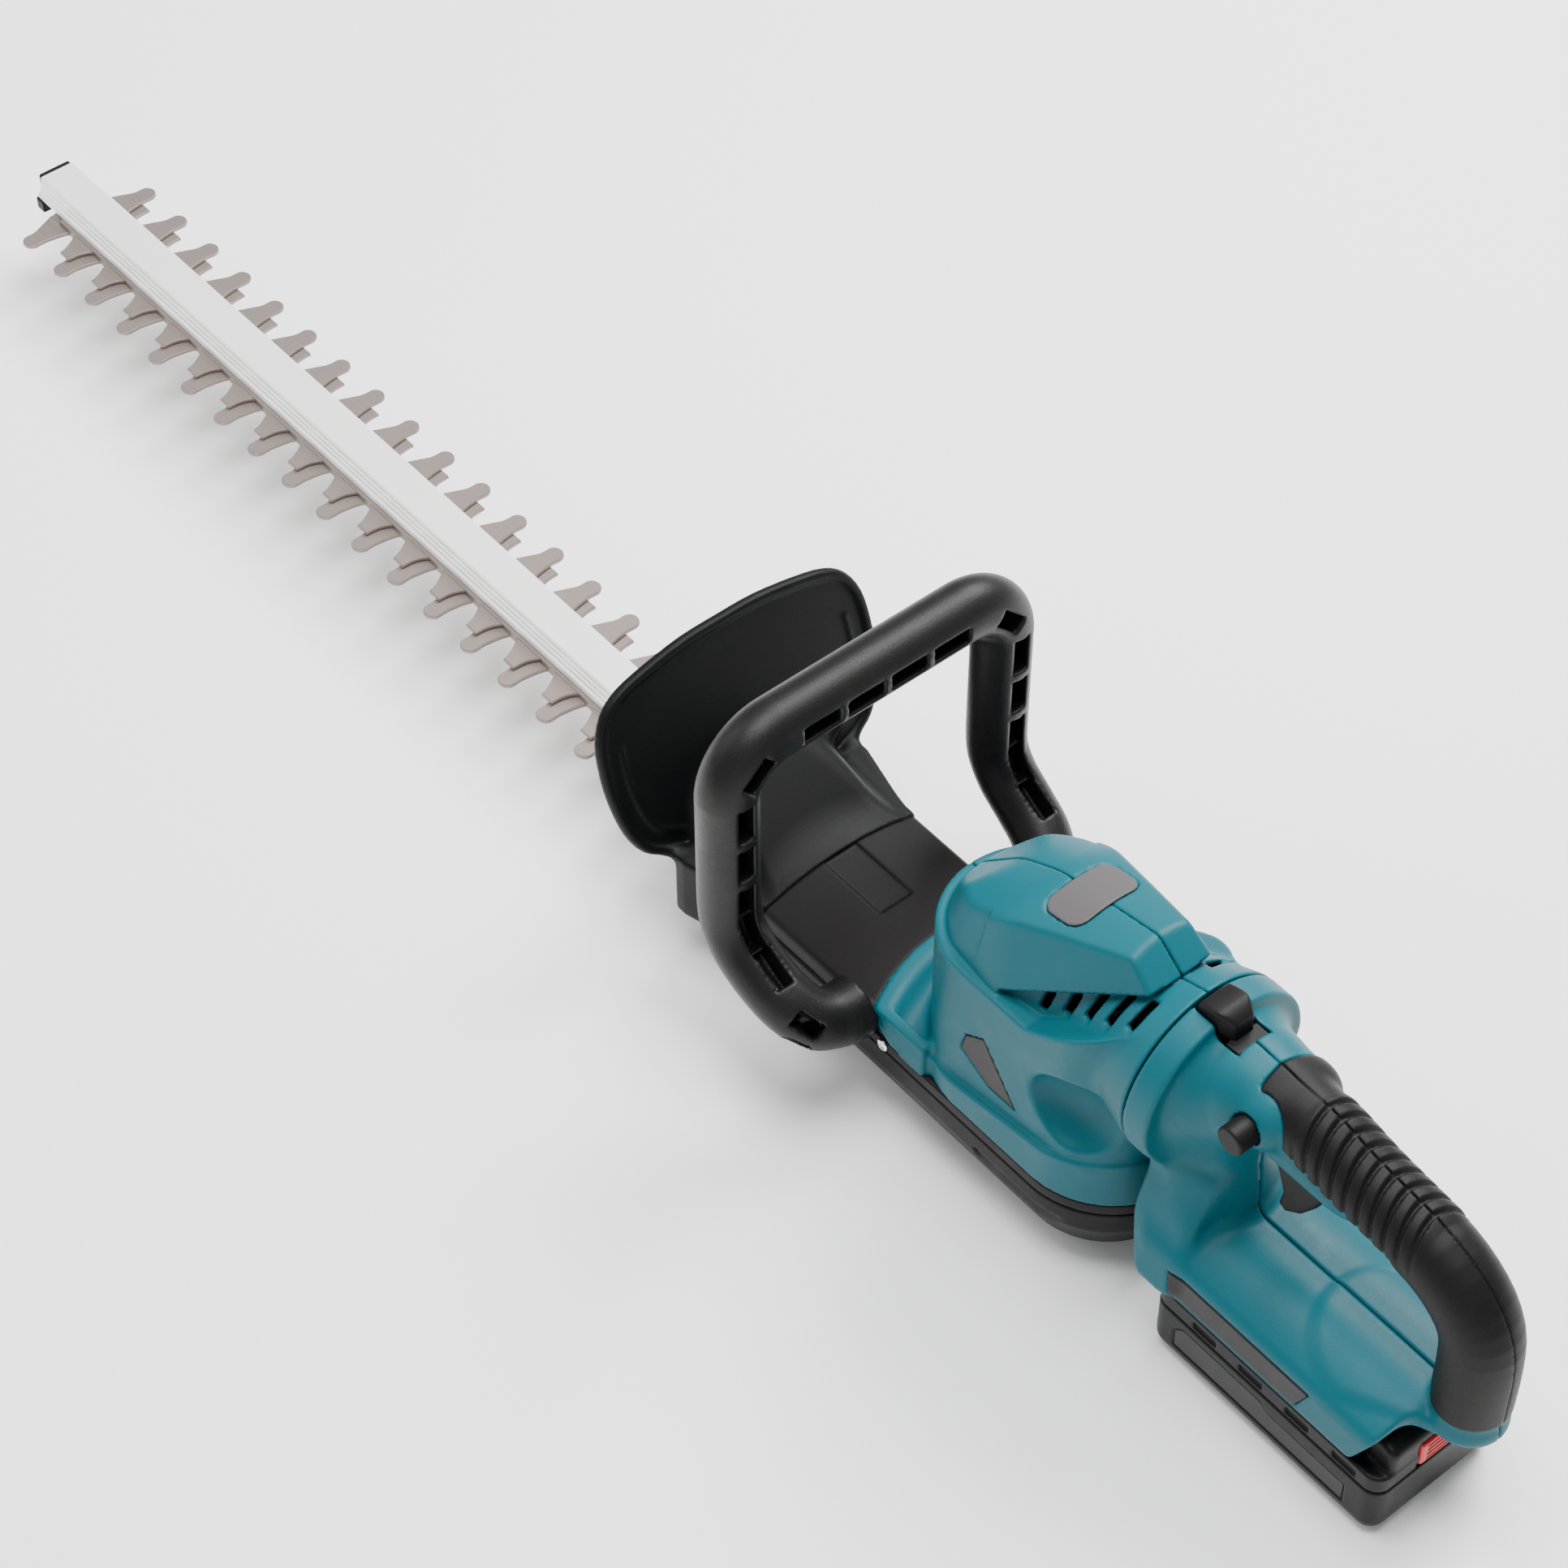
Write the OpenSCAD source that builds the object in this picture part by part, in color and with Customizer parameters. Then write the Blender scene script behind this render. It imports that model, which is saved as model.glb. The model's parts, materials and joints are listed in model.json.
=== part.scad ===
// Cordless hedge trimmer. X points to the blade tip, Y to the left, Z up.
// The origin is on the ground under the middle of the tool.

/* [Blades] */
// Distance between two long teeth
tooth_pitch = 30; // [29:0.5:30]
// Long teeth on one side of each blade
tooth_count = 18; // [12:1:18]
// Reach of the long round-ended teeth from the centre line
long_reach = 38.5; // [36:0.5:40]
// Reach of the short cutters from the centre line
short_reach = 28.5; // [26:0.5:30]
// Thickness of each blade
blade_t = 2.3; // [2:0.1:2.4]
// Half width of the blade's spine
spine_half = 15; // [14:0.5:15]
// Height of the upper blade's top face
blade_top_z = 40; // [39.8:0.1:40]
// Station of the first long tooth of the upper blade, without its shift
first_tooth_x = 492; // [485:1:492]

/* [Drive] */
// Throw of each cam
cam_throw = 4; // [3:0.5:4]
// How far each blade is shifted from the middle of its stroke at rest
rest_shift = 2.92; // [0:0.02:2.92]
// Teeth of the crank gear
gear_teeth = 44; // [44:44]
// Teeth of the motor pinion
pinion_teeth = 10; // [10:10]
// Gear module
gear_module = 1.25; // [1.25:1.25]
// Station of the crank shaft
crank_x = -246; // [-247:1:-245]

/* [Rail] */
// Front end of the aluminium rail
rail_front_x = 525.5; // [520:0.5:525.5]
// Height of the rail above its foot
rail_h = 12.3; // [11:0.1:12.5]
// Number of guide bolts under the rail
bolt_count = 8; // [6:1:8]

/* [Guard and front handle] */
// Half width of the hand guard
guard_half = 78; // [74:1:78]
// Height of the guard's top edge
guard_top_z = 156; // [150:1:156]
// Radius of the loop handle's tube
loop_r = 14; // [12:0.5:14]
// Height of the loop handle's top centre line
loop_top_z = 200; // [190:1:200]
// Distance of the loop handle's legs from the centre line
loop_half = 77.5; // [74:0.5:78]

/* [Body] */
// Half width of the base
base_half = 46; // [45:0.5:46]
// Height of the line where the coloured housing meets the black base
base_top_z = 50; // [50:50]
// Radius of the swivel collar
collar_r = 44; // [43:0.5:44]
// Height of the swivel axis
swivel_z = 137.5; // [137:0.5:138]

/* [Rear handle and battery] */
// Rear end of the handle
rear_x = -529; // [-529:1:-528]
// Half width of the battery
battery_half = 37.5; // [36:0.5:37.5]
// Height of the battery's body
battery_h = 40; // [39:0.5:40]

/* [Hidden] */
$fn = 64;

// Blades and guide
lower_top_z = blade_top_z - blade_t - 0.2;
rail_z = blade_top_z + 0.3;
bolt_first_x = 470;
bolt_step = 75;
bolt_r = 2.5;
sleeve_r = 4;
washer_r = 9;
washer_top_z = lower_top_z - blade_t - 0.3;
washer_t = 2.4;
slot_half_w = sleeve_r + 0.3;
slot_half_l = slot_half_w + cam_throw + 0.4;
yoke_half_w = 23;
cam_r = 12;
cam_play = 1;
yoke_slot_half_y = cam_r + cam_throw + 0.6;
lower_shift = 9.16 - tooth_pitch / 2;

// Drive train
gear_r = gear_teeth * gear_module / 2;
pinion_r = pinion_teeth * gear_module / 2;
motor_x = crank_x - gear_r - pinion_r - 0.1;
gear_z = 40.8;
gear_w = 6.8;
crank_r = 5;
crank_bottom_z = 17;
crank_top_z = 60;
bearing_r = 11;
bearing_w = 7;
low_bearing_z = 19;
high_bearing_z = base_top_z + 1.5;
motor_r = 25;
motor_z = 66;
motor_h = 68;
motor_shaft_r = 2.5;

// Body
wall = 3;
base_bottom_z = 12;
base_seam_z = 43;
base_front_x = -124;
base_back_x = -303;
deck_t = 4;
deck_bottom_z = 48.2;
neck_half = 45;
neck_shoulder_z = 60;
neck_top_z = 68;
neck_front_x = -124.2;
housing_front_x = -166;
tower_x = -252;
tower_top_z = 134;
seam_x = -350;
guard_lean = 17.4;
guard_t = 3.5;

// Front loop
loop_x = -141;
loop_corner = 26;
foot_x = -190;
foot_z = 58;
foot_screw_r = 2.2;
flange_screw_x = -208;
flange_screw_z = 46.5;
guard_screw_y = 30;
guard_screw_z = 36;

// Rear handle
tray_half = 39.5;
tray_z = battery_h + 0.6;
tray_top_z = 76.5;
tray_front_x = -366;
tray_back_x = -480;
grip_r = 17.5;
grip_front = [-392, 158];
grip_mid = [-440, 152];
grip_rear = [-484, 146];
post_top = [-508, 128];
post_bottom = [-511.5, 86];
foot_bottom_z = 72;
sleeve_inner_r = 22;
sleeve_outer_r = 26;

module mirrored_y() {
    children();
    mirror([0, 1, 0]) children();
}

module along_x(x0, x1) {
    translate([x0, 0, 0]) rotate([90, 0, 90]) linear_extrude(x1 - x0) children();
}

module rod_y(x, z, r, y0, y1) {
    translate([x, y0, z]) rotate([-90, 0, 0]) cylinder(h = y1 - y0, r = r);
}

module rod_x(x0, x1, z, r) {
    translate([x0, 0, z]) rotate([0, 90, 0]) cylinder(h = x1 - x0, r = r);
}

module link(a, b, r) {
    d = b - a;
    len = norm(d);
    translate(a) rotate([0, acos(d[2] / len), atan2(d[1], d[0])]) cylinder(h = len, r = r);
}

// ---- Rail ----

module rail_section() {
    half = [[9.5, rail_h], [10.3, rail_h - 0.8], [10.3, rail_h - 3.2], [11, rail_h - 3.6],
        [11, rail_h - 5.8], [11.7, rail_h - 6.2], [11.7, rail_h - 8.4], [12.6, rail_h - 9],
        [13, rail_h - 9.6], [13, 0]];
    points = concat(half, [for (i = [len(half) - 1:-1:0]) [-half[i][0], half[i][1]]]);
    difference() {
        polygon(points);
        translate([-7, 5.5]) square([14, rail_h - 7.5]);
    }
}

module blade_rail() {
    color("gainsboro") difference() {
        translate([0, 0, rail_z]) along_x(-150, rail_front_x) rail_section();
        for (i = [0:bolt_count - 1])
            translate([bolt_first_x - i * bolt_step, 0, rail_z - 1]) cylinder(h = 6.5, r = bolt_r);
    }
}

module rail_end_cap() {
    color("#1c1c1e") union() {
        translate([rail_front_x, -9.5, rail_z]) cube([3.5, 19, rail_h]);
        translate([rail_front_x - 14, -7, rail_z + 5.5]) cube([14.5, 14, rail_h - 7.5]);
        translate([rail_front_x - 5, 4, 33]) cube([7, 10, rail_z - 33]);
        translate([rail_front_x, 4, rail_z - 1]) cube([2, 8, 3]);
    }
}

module guide_bolts() {
    color("silver") for (i = [0:bolt_count - 1])
        translate([bolt_first_x - i * bolt_step, 0, 0]) union() {
            translate([0, 0, washer_top_z - washer_t - 3]) cylinder(h = 3, r = 5.5, $fn = 6);
            translate([0, 0, washer_top_z - washer_t])
                cylinder(h = rail_z + 5.5 - washer_top_z + washer_t, r = bolt_r);
        }
}

module guide_sleeves() {
    color("silver") for (i = [0:bolt_count - 1])
        translate([bolt_first_x - i * bolt_step, 0, washer_top_z]) difference() {
            cylinder(h = rail_z - washer_top_z, r = sleeve_r);
            translate([0, 0, -1]) cylinder(h = 10, r = bolt_r);
        }
}

module guide_washers() {
    color("silver") for (i = [0:bolt_count - 1])
        translate([bolt_first_x - i * bolt_step, 0, washer_top_z - washer_t]) difference() {
            cylinder(h = washer_t, r = washer_r);
            translate([0, 0, -1]) cylinder(h = 5, r = bolt_r);
        }
}

// ---- Blades ----

// Half width of a tooth at a fraction u of its length, 0 at the spine and 1 at the tip
function tooth_half(u, root, tip) = tip + (root - tip) * pow(1 - u, 1.7);

// Outline of one tooth, from its rear root to its front root
function tooth_profile(reach, root, tip, round_end) =
    let (stop = reach - (round_end ? tip : 0), steps = 6,
        edge = [for (i = [0:steps])
            [tooth_half(i / steps, root, tip), spine_half + (stop - spine_half) * i / steps]])
    concat([for (p = edge) [-p[0], p[1]]],
        [for (a = round_end ? [150:-30:30] : []) [tip * cos(a), stop + tip * sin(a)]],
        [for (i = [steps:-1:0]) edge[i]]);

function tooth_row(profile, shift) = [for (i = [tooth_count - 1:-1:0]) for (p = profile)
    [first_tooth_x + shift - i * tooth_pitch + p[0], p[1]]];

module blade_outline(tip_x, slot_shift, right, left) {
    difference() {
        union() {
            polygon(concat([[crank_x, -spine_half]], [for (p = right) [p[0], -p[1]]],
                [[tip_x - 1.5, -spine_half], [tip_x, -8], [tip_x, 8], [tip_x - 1.5, spine_half]],
                [for (i = [len(left) - 1:-1:0]) left[i]], [[crank_x, spine_half]]));
            translate([crank_x + slot_shift, 0]) circle(r = yoke_half_w);
        }
        for (i = [0:bolt_count - 1])
            translate([bolt_first_x - i * bolt_step + slot_shift, 0]) {
                translate([-slot_half_l + slot_half_w, -slot_half_w])
                    square([2 * (slot_half_l - slot_half_w), 2 * slot_half_w]);
                translate([slot_half_w - slot_half_l, 0]) circle(r = slot_half_w);
                translate([slot_half_l - slot_half_w, 0]) circle(r = slot_half_w);
            }
        translate([crank_x + slot_shift - cam_r - cam_play, -yoke_slot_half_y])
            square([2 * (cam_r + cam_play), 2 * yoke_slot_half_y]);
    }
}

module upper_blade() {
    long_tooth = tooth_profile(long_reach, 10, 4, true);
    short_tooth = tooth_profile(short_reach, 8.5, 4.5, false);
    color("#b9aca6") translate([0, 0, blade_top_z - blade_t]) linear_extrude(blade_t)
        blade_outline(first_tooth_x + 12, rest_shift, tooth_row(long_tooth, 0),
            tooth_row(short_tooth, -tooth_pitch / 2));
}

module lower_blade() {
    long_tooth = tooth_profile(long_reach, 10, 4, true);
    short_tooth = tooth_profile(short_reach, 8.5, 4.5, false);
    color("#b3a7a2") translate([0, 0, lower_top_z - blade_t]) linear_extrude(blade_t)
        blade_outline(first_tooth_x + 21, -rest_shift, tooth_row(short_tooth, lower_shift),
            tooth_row(long_tooth, tooth_pitch / 2 + lower_shift));
}

// ---- Drive train ----

// Involute curve point at roll angle t, in degrees, on a base circle of radius rb
function involute(rb, t) =
    [rb * (cos(t) + t * PI / 180 * sin(t)), rb * (sin(t) - t * PI / 180 * cos(t))];

function turn(p, a) = [p[0] * cos(a) - p[1] * sin(a), p[0] * sin(a) + p[1] * cos(a)];

module gear_outline(teeth, r_root, r_tip, backlash) {
    pitch = teeth * gear_module / 2;
    rb = pitch * cos(25);
    roll_pitch = sqrt(pow(pitch / rb, 2) - 1) * 180 / PI;
    at_pitch = roll_pitch - atan(roll_pitch * PI / 180);
    half_tooth = 90 / teeth - backlash;
    roll_tip = sqrt(pow(r_tip / rb, 2) - 1) * 180 / PI;
    steps = 4;
    flank = [for (i = [0:steps]) turn(involute(rb, roll_tip * i / steps), -half_tooth - at_pitch)];
    union() {
        circle(r = r_root);
        for (k = [0:teeth - 1]) rotate(k * 360 / teeth)
            polygon(concat([turn([r_root - 0.4, 0], -half_tooth - at_pitch)], flank,
                [for (i = [steps:-1:0]) [flank[i][0], -flank[i][1]]],
                [turn([r_root - 0.4, 0], half_tooth + at_pitch)]));
    }
}

module crank_gear() {
    color("#8d9196") translate([crank_x, 0, gear_z]) difference() {
        linear_extrude(gear_w) gear_outline(gear_teeth, gear_r - 1.5, gear_r + 1.1, 0.15);
        translate([0, 0, -1]) cylinder(h = gear_w + 2, r = crank_r);
        for (k = [0:4]) rotate(k * 72) translate([16, 0, -1]) cylinder(h = gear_w + 2, r = 4);
    }
}

module crank_shaft() {
    color("silver") translate([crank_x, 0, crank_bottom_z])
        cylinder(h = crank_top_z - crank_bottom_z, r = crank_r);
}

// Offset of a cam's centre at rest, from the linear rule that moves the blades
rest_angle = rest_shift / cam_throw * 90;
cam_offset_x = cam_throw * sin(rest_angle);
cam_offset_y = cam_throw * cos(rest_angle);

module upper_cam() {
    color("#777c82") union() {
        translate([crank_x, 0, blade_top_z]) difference() {
            cylinder(h = gear_z - blade_top_z, r = 8);
            translate([0, 0, -1]) cylinder(h = 4, r = crank_r);
        }
        difference() {
            translate([crank_x + cam_offset_x, cam_offset_y, blade_top_z - blade_t])
                cylinder(h = blade_t, r = cam_r);
            translate([crank_x, 0, blade_top_z - blade_t - 1]) cylinder(h = blade_t + 2, r = crank_r);
        }
    }
}

module lower_cam() {
    color("#777c82") difference() {
        union() {
            translate([crank_x - cam_offset_x, -cam_offset_y, lower_top_z - blade_t])
                cylinder(h = blade_t, r = cam_r);
            translate([crank_x, 0, lower_top_z]) cylinder(h = 0.2, r = 7);
            translate([crank_x, 0, low_bearing_z + bearing_w + 0.5])
                cylinder(h = lower_top_z - blade_t - low_bearing_z - bearing_w - 0.5, r = 7);
        }
        translate([crank_x, 0, crank_bottom_z]) cylinder(h = 40, r = crank_r);
    }
}

module bearing(outer, inner, h) {
    difference() {
        cylinder(h = h, r = outer);
        translate([0, 0, -1]) cylinder(h = h + 2, r = inner);
    }
}

module crank_bearings() {
    color("silver") for (z = [low_bearing_z, high_bearing_z])
        translate([crank_x, 0, z]) bearing(bearing_r, crank_r + 0.05, bearing_w);
}

module motor_bearings() {
    color("silver") for (z = [motor_z - 6, motor_z + motor_h])
        translate([motor_x, 0, z]) bearing(8, motor_shaft_r + 0.05, 5);
}

module pinion() {
    color("#8d9196") translate([motor_x, 0, gear_z]) difference() {
        rotate(180 / pinion_teeth) linear_extrude(gear_w)
            gear_outline(pinion_teeth, pinion_r - 1.5, pinion_r + 1.1, 0.7);
        translate([0, 0, -1]) cylinder(h = gear_w + 2, r = motor_shaft_r);
    }
}

module motor_shaft() {
    color("silver") translate([motor_x, 0, gear_z - 1])
        cylinder(h = motor_z + motor_h + 8 - gear_z, r = motor_shaft_r);
}

module armature() {
    color("#a5673a") translate([motor_x, 0, motor_z + 8]) difference() {
        union() {
            cylinder(h = 36, r = 17);
            translate([0, 0, -3]) cylinder(h = 3, r = 12);
            translate([0, 0, 36]) cylinder(h = 3, r = 12);
        }
        translate([0, 0, -4]) cylinder(h = 46, r = motor_shaft_r);
        for (k = [0:11]) rotate(k * 30) translate([15, -0.8, -1]) cube([4, 1.6, 38]);
    }
}

module commutator() {
    color("#b87333") translate([motor_x, 0, motor_z + 47.5]) difference() {
        cylinder(h = 11, r = 8);
        translate([0, 0, -1]) cylinder(h = 13, r = motor_shaft_r);
        for (k = [0:11]) rotate(k * 30) translate([7, -0.3, -1]) cube([2, 0.6, 13]);
    }
}

module cooling_fan() {
    color("#2b2b2d") translate([motor_x, 0, motor_z]) difference() {
        union() {
            translate([0, 0, 0.5]) cylinder(h = 1.5, r = 18);
            cylinder(h = 4.6, r = 6);
            for (k = [0:11]) rotate(k * 30) translate([6, -0.7, 1.5]) cube([11, 1.4, 3.4]);
        }
        translate([0, 0, -1]) cylinder(h = 8, r = motor_shaft_r);
    }
}

module motor_can() {
    color("#9a9da1") translate([motor_x, 0, motor_z - 6]) difference() {
        union() {
            cylinder(h = motor_h, r = motor_r);
            translate([0, 0, -2]) cylinder(h = 2, r = 12);
        }
        translate([0, 0, 5]) cylinder(h = motor_h, r = motor_r - 2.5);
        translate([0, 0, -3]) cylinder(h = 20, r = 8);
        for (k = [0:3]) rotate(k * 90 + 45) translate([10, -4, -3]) cube([9, 8, 9]);
        for (k = [0:3]) rotate(k * 90) translate([motor_r - 4, -5, 14]) cube([6, 10, 10]);
    }
}

module motor_end_cap() {
    color("#3a3a3d") translate([motor_x, 0, motor_z + motor_h - 6]) difference() {
        cylinder(h = 13, r = motor_r);
        translate([0, 0, -1]) cylinder(h = 7, r = motor_r - 2.5);
        translate([0, 0, 6]) cylinder(h = 5, r = 8);
        translate([0, 0, -1]) cylinder(h = 20, r = 4);
        for (k = [0:3]) rotate(k * 90 + 45) translate([11, -4, 4]) cube([8, 8, 12]);
    }
}

module brush_holders() {
    color("#c9a227") mirrored_y() translate([motor_x - 3, 8.4, motor_z + 50]) union() {
        cube([6, 9, 6]);
        translate([1, 9, 1]) cube([4, 4, 4]);
    }
}

// ---- Base ----

module base_outline(inset) {
    translate([base_back_x, 0]) circle(r = base_half - inset);
    translate([base_back_x, inset - base_half])
        square([base_front_x - inset - base_back_x, 2 * (base_half - inset)]);
}

module base_cover() {
    color("#1d1c1d") difference() {
        union() {
            translate([0, 0, 25]) linear_extrude(base_seam_z - 25) base_outline(0);
            translate([0, 0, 18]) linear_extrude(8) base_outline(3.5);
            translate([0, 0, base_bottom_z]) linear_extrude(8) base_outline(8);
        }
        translate([0, 0, 30]) linear_extrude(20) base_outline(wall);
        difference() {
            translate([0, 0, base_bottom_z + wall]) linear_extrude(20) base_outline(11);
            translate([crank_x, 0, 0]) cylinder(h = low_bearing_z + bearing_w, r = bearing_r + 3);
            for (p = base_screw_places) translate([p[0], p[1], 0]) cylinder(h = 50, r = 5);
        }
        translate([crank_x, 0, low_bearing_z]) cylinder(h = 30, r = bearing_r);
        translate([crank_x, 0, 14]) cylinder(h = 30, r = 7);
        translate([base_front_x - 20, -17, 25]) cube([40, 34, 40]);
        mirrored_y() translate([0, guard_screw_y, 0]) rod_x(-140, -120, guard_screw_z, 2);
        for (p = base_screw_places) translate([p[0], p[1], 0]) {
            cylinder(h = 60, r = 2);
            cylinder(h = base_bottom_z + 4, r = 4);
        }
    }
}

base_screw_places = [[-141, 29], [-141, -29], [-205, 33], [-205, -33], [-325, 22], [-325, -22]];

module base_screws() {
    color("silver") for (p = base_screw_places) translate([p[0], p[1], base_bottom_z + 1]) union() {
        cylinder(h = 3, r = 3.9);
        translate([0, 0, 3]) cylinder(h = base_top_z - base_bottom_z - 6, r = 2);
    }
}

module gear_case() {
    color("#222122") difference() {
        union() {
            translate([0, 0, base_seam_z]) linear_extrude(base_top_z - base_seam_z) base_outline(0);
            translate([0, 0, base_top_z]) linear_extrude(deck_t) base_outline(wall + 1.3);
            translate([crank_x, 0, base_top_z + deck_t]) cylinder(h = 5, r = bearing_r + 3);
            translate([motor_x, 0, base_top_z + deck_t])
                cylinder(h = motor_z - 6 - base_top_z - deck_t, r = 20);
        }
        difference() {
            translate([0, 0, base_seam_z - 1])
                linear_extrude(deck_bottom_z - base_seam_z + 1) base_outline(wall);
            for (p = base_screw_places) translate([p[0], p[1], 0]) cylinder(h = 60, r = 5);
        }
        for (p = base_screw_places) translate([p[0], p[1], 0]) cylinder(h = base_top_z - 1, r = 2);
        translate([crank_x, 0, high_bearing_z]) cylinder(h = 30, r = bearing_r);
        translate([crank_x, 0, 40]) cylinder(h = 30, r = crank_r + 2);
        translate([motor_x, 0, 40]) cylinder(h = 30, r = 12);
        translate([-150, -17, 30]) cube([60, 34, 40]);
        mirrored_y() rod_y(flange_screw_x, flange_screw_z, 1.8, 40, 60);
    }
}

module felt_seal() {
    color("#6b6a66") difference() {
        translate([base_front_x - 12, -16.8, 25]) cube([6, 33.6, 14.9]);
        translate([base_front_x - 20, -spine_half - 0.4, washer_top_z + 0.05])
            cube([20, 2 * spine_half + 0.8, 12]);
    }
}

// ---- Neck ----

module neck_outline(inset) {
    h = neck_top_z - inset;
    side = neck_half - inset;
    shoulder = neck_shoulder_z - inset;
    bow_r = (side * side + pow(h - shoulder, 2)) / (2 * (h - shoulder));
    intersection() {
        translate([-side, base_top_z]) square([2 * side, h - base_top_z]);
        translate([0, h - bow_r]) circle(r = bow_r, $fn = 180);
    }
}

// Everything in front of and below the slanted edge where the coloured housing begins
module ahead_of_housing(gap) {
    translate([0, 100, 0]) rotate([90, 0, 0]) linear_extrude(200)
        polygon([[0, 20], [0, 200], [housing_front_x + gap, 200], [housing_front_x + gap, 86],
            [-214 + gap, base_top_z - 2], [-214 + gap, 20]]);
}

module gear_cover() {
    color("#242324") difference() {
        union() {
            intersection() {
                along_x(-216, neck_front_x) neck_outline(0);
                ahead_of_housing(0);
            }
            mirrored_y() rod_y(foot_x, foot_z, 6, neck_half - 1, base_half + 0.2);
        }
        translate([0, 0, -1]) along_x(-220, neck_front_x + 1) neck_outline(wall);
        translate([-220, -42, 40]) cube([110, 84, 15]);
        translate([-163, -9, neck_top_z - 1.4]) cube([38, 18, 5]);
        mirrored_y() rod_y(foot_x, foot_z, foot_screw_r, 20, 60);
    }
}

module cover_panel() {
    color("#2a292a") translate([-162.7, -8.7, neck_top_z - 1.4]) cube([37.4, 17.4, 1.2]);
}

module flange_screws() {
    color("#d8dadd") mirrored_y() union() {
        rod_y(flange_screw_x, flange_screw_z, 1.8, base_half - 5, base_half);
        rod_y(flange_screw_x, flange_screw_z, 3.2, base_half, base_half + 1.6);
    }
}

// ---- Guard ----

module guard_outline() {
    half = [[0, guard_top_z - 60.3], [21, guard_top_z - 60.6], [44, guard_top_z - 64],
        [60, guard_top_z - 67.8], [70, guard_top_z - 75], [guard_half - 1.5, guard_top_z - 88],
        [guard_half, guard_top_z - 104], [guard_half - 0.5, guard_top_z - 120], [guard_half - 4, 18],
        [67.5, 5], [58, -2.5], [49, -8], [46, -20], [46, -32], [0, -32]];
    polygon(concat(half, [for (i = [len(half) - 1:-1:0]) [-half[i][0], half[i][1]]]));
}

module hand_guard() {
    color("#161617") difference() {
        union() {
            translate([-69, 0, 62]) rotate([0, guard_lean, 0]) rotate([90, 0, 90])
                linear_extrude(guard_t) guard_outline();
            hull() {
                translate([-79, -42, 0]) cube([3, 84, 40]);
                translate([-92, -42, 0]) cube([3, 84, 20]);
            }
            hull() {
                along_x(neck_front_x + 0.2, neck_front_x + 3) intersection() {
                    neck_outline(0);
                    translate([-60, 40]) square([120, 60]);
                }
                translate([-84, -55, 40]) cube([6, 110, 28]);
                translate([-75, 0, 62]) rotate([0, 90, 0]) cylinder(h = 3, r = 38, $fn = 32);
            }
            translate([neck_front_x + 0.2, -44, 20]) cube([40, 88, 32]);
        }
        translate([-200, -17, 24]) cube([200, 34, 32]);
        translate([-100, -70, -40]) cube([30, 140, 40]);
        translate([-120, -40, 3]) cube([27.5, 80, 18]);
        translate([-122, -41, 24]) cube([34, 82, 30]);
        mirrored_y() translate([0, guard_screw_y, 0]) rod_x(-130, -118, guard_screw_z, 2);
    }
}

module guard_screws() {
    color("silver") mirrored_y() translate([0, guard_screw_y, 0]) union() {
        rod_x(-132, -122, guard_screw_z, 2);
        rod_x(-122, -119, guard_screw_z, 4);
    }
}

// ---- Front loop handle ----

module loop_path_half() {
    r = loop_r;
    top = [loop_x, loop_half - loop_corner, loop_top_z];
    translate([loop_x, loop_half - loop_corner, loop_top_z - loop_corner]) rotate([90, 0, 90])
        rotate_extrude(angle = 90) translate([loop_corner, 0]) circle(r = r);
    link([loop_x, 0, loop_top_z], top, r);
    knee = [loop_x, loop_half, 96];
    bend = [-170, loop_half, 74];
    ankle = [foot_x, loop_half - 6, foot_z + 4];
    link([loop_x, loop_half, loop_top_z - loop_corner], knee, r);
    translate(knee) sphere(r = r);
    link(knee, bend, r);
    translate(bend) sphere(r = r);
    link(bend, ankle, r);
    translate(ankle) sphere(r = r);
    link(ankle, [foot_x, base_half - 1, foot_z], r);
}

module front_handle() {
    color("#252526") difference() {
        mirrored_y() loop_path_half($fn = 32);
        mirrored_y() {
            rod_y(foot_x, foot_z, foot_screw_r, 40, 80);
            rod_y(foot_x, foot_z, 5.6, 62, 110);
            translate([foot_x - 30, 0, 20]) cube([60, base_half + 0.2, 70]);
        }
    }
}

module handle_screws() {
    color("silver") mirrored_y() union() {
        rod_y(foot_x, foot_z, foot_screw_r, neck_half - 6, 62);
        rod_y(foot_x, foot_z, 5, 62, 66);
    }
}

// ---- Housing ----

module plan_outline(inset, x_tower) {
    translate([base_back_x, 0]) circle(r = base_half - inset);
    translate([x_tower, 0]) circle(r = base_half - inset);
    translate([base_back_x, inset - base_half]) square([x_tower - base_back_x, 2 * (base_half - inset)]);
}

// Corner points of the raised hood on the left side
hood_points = [[-236, 31, 136], [-243, 25, 155], [-256, 26, 164], [-270, 26, 170], [-296, 20, 178],
    [-318, 12, 181.5], [-333, 9, 177], [-331, 20, 158], [-300, 31, 146], [-270, 35, 138]];

module hood_knots(inset) {
    for (p = hood_points) mirrored_y() translate(p) sphere(r = 5 - inset, $fn = 14);
}

module housing_solid(inset) {
    below = inset > 0 ? 1 : 0;
    translate([0, 0, base_top_z - below])
        linear_extrude(tower_top_z - base_top_z - inset + below) plan_outline(inset, tower_x - 2);
    hull() hood_knots(inset);
    hull() {
        rod_x(seam_x + 0.4 + inset, seam_x + 12, swivel_z, collar_r - inset);
        translate([-305, 0, 110]) cylinder(h = 20, r = base_half - inset - 1);
    }
    difference() {
        along_x(-240, housing_front_x - 0.4 - inset) neck_outline(inset - 1.1);
        ahead_of_housing(-0.4 - inset);
    }
}

// Station, height and depth of each housing screw's head
housing_screw_places = [[-229, 70, -33], [-229, 112, -33], [-316, 70, -38], [-316, 112, -38]];

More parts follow.
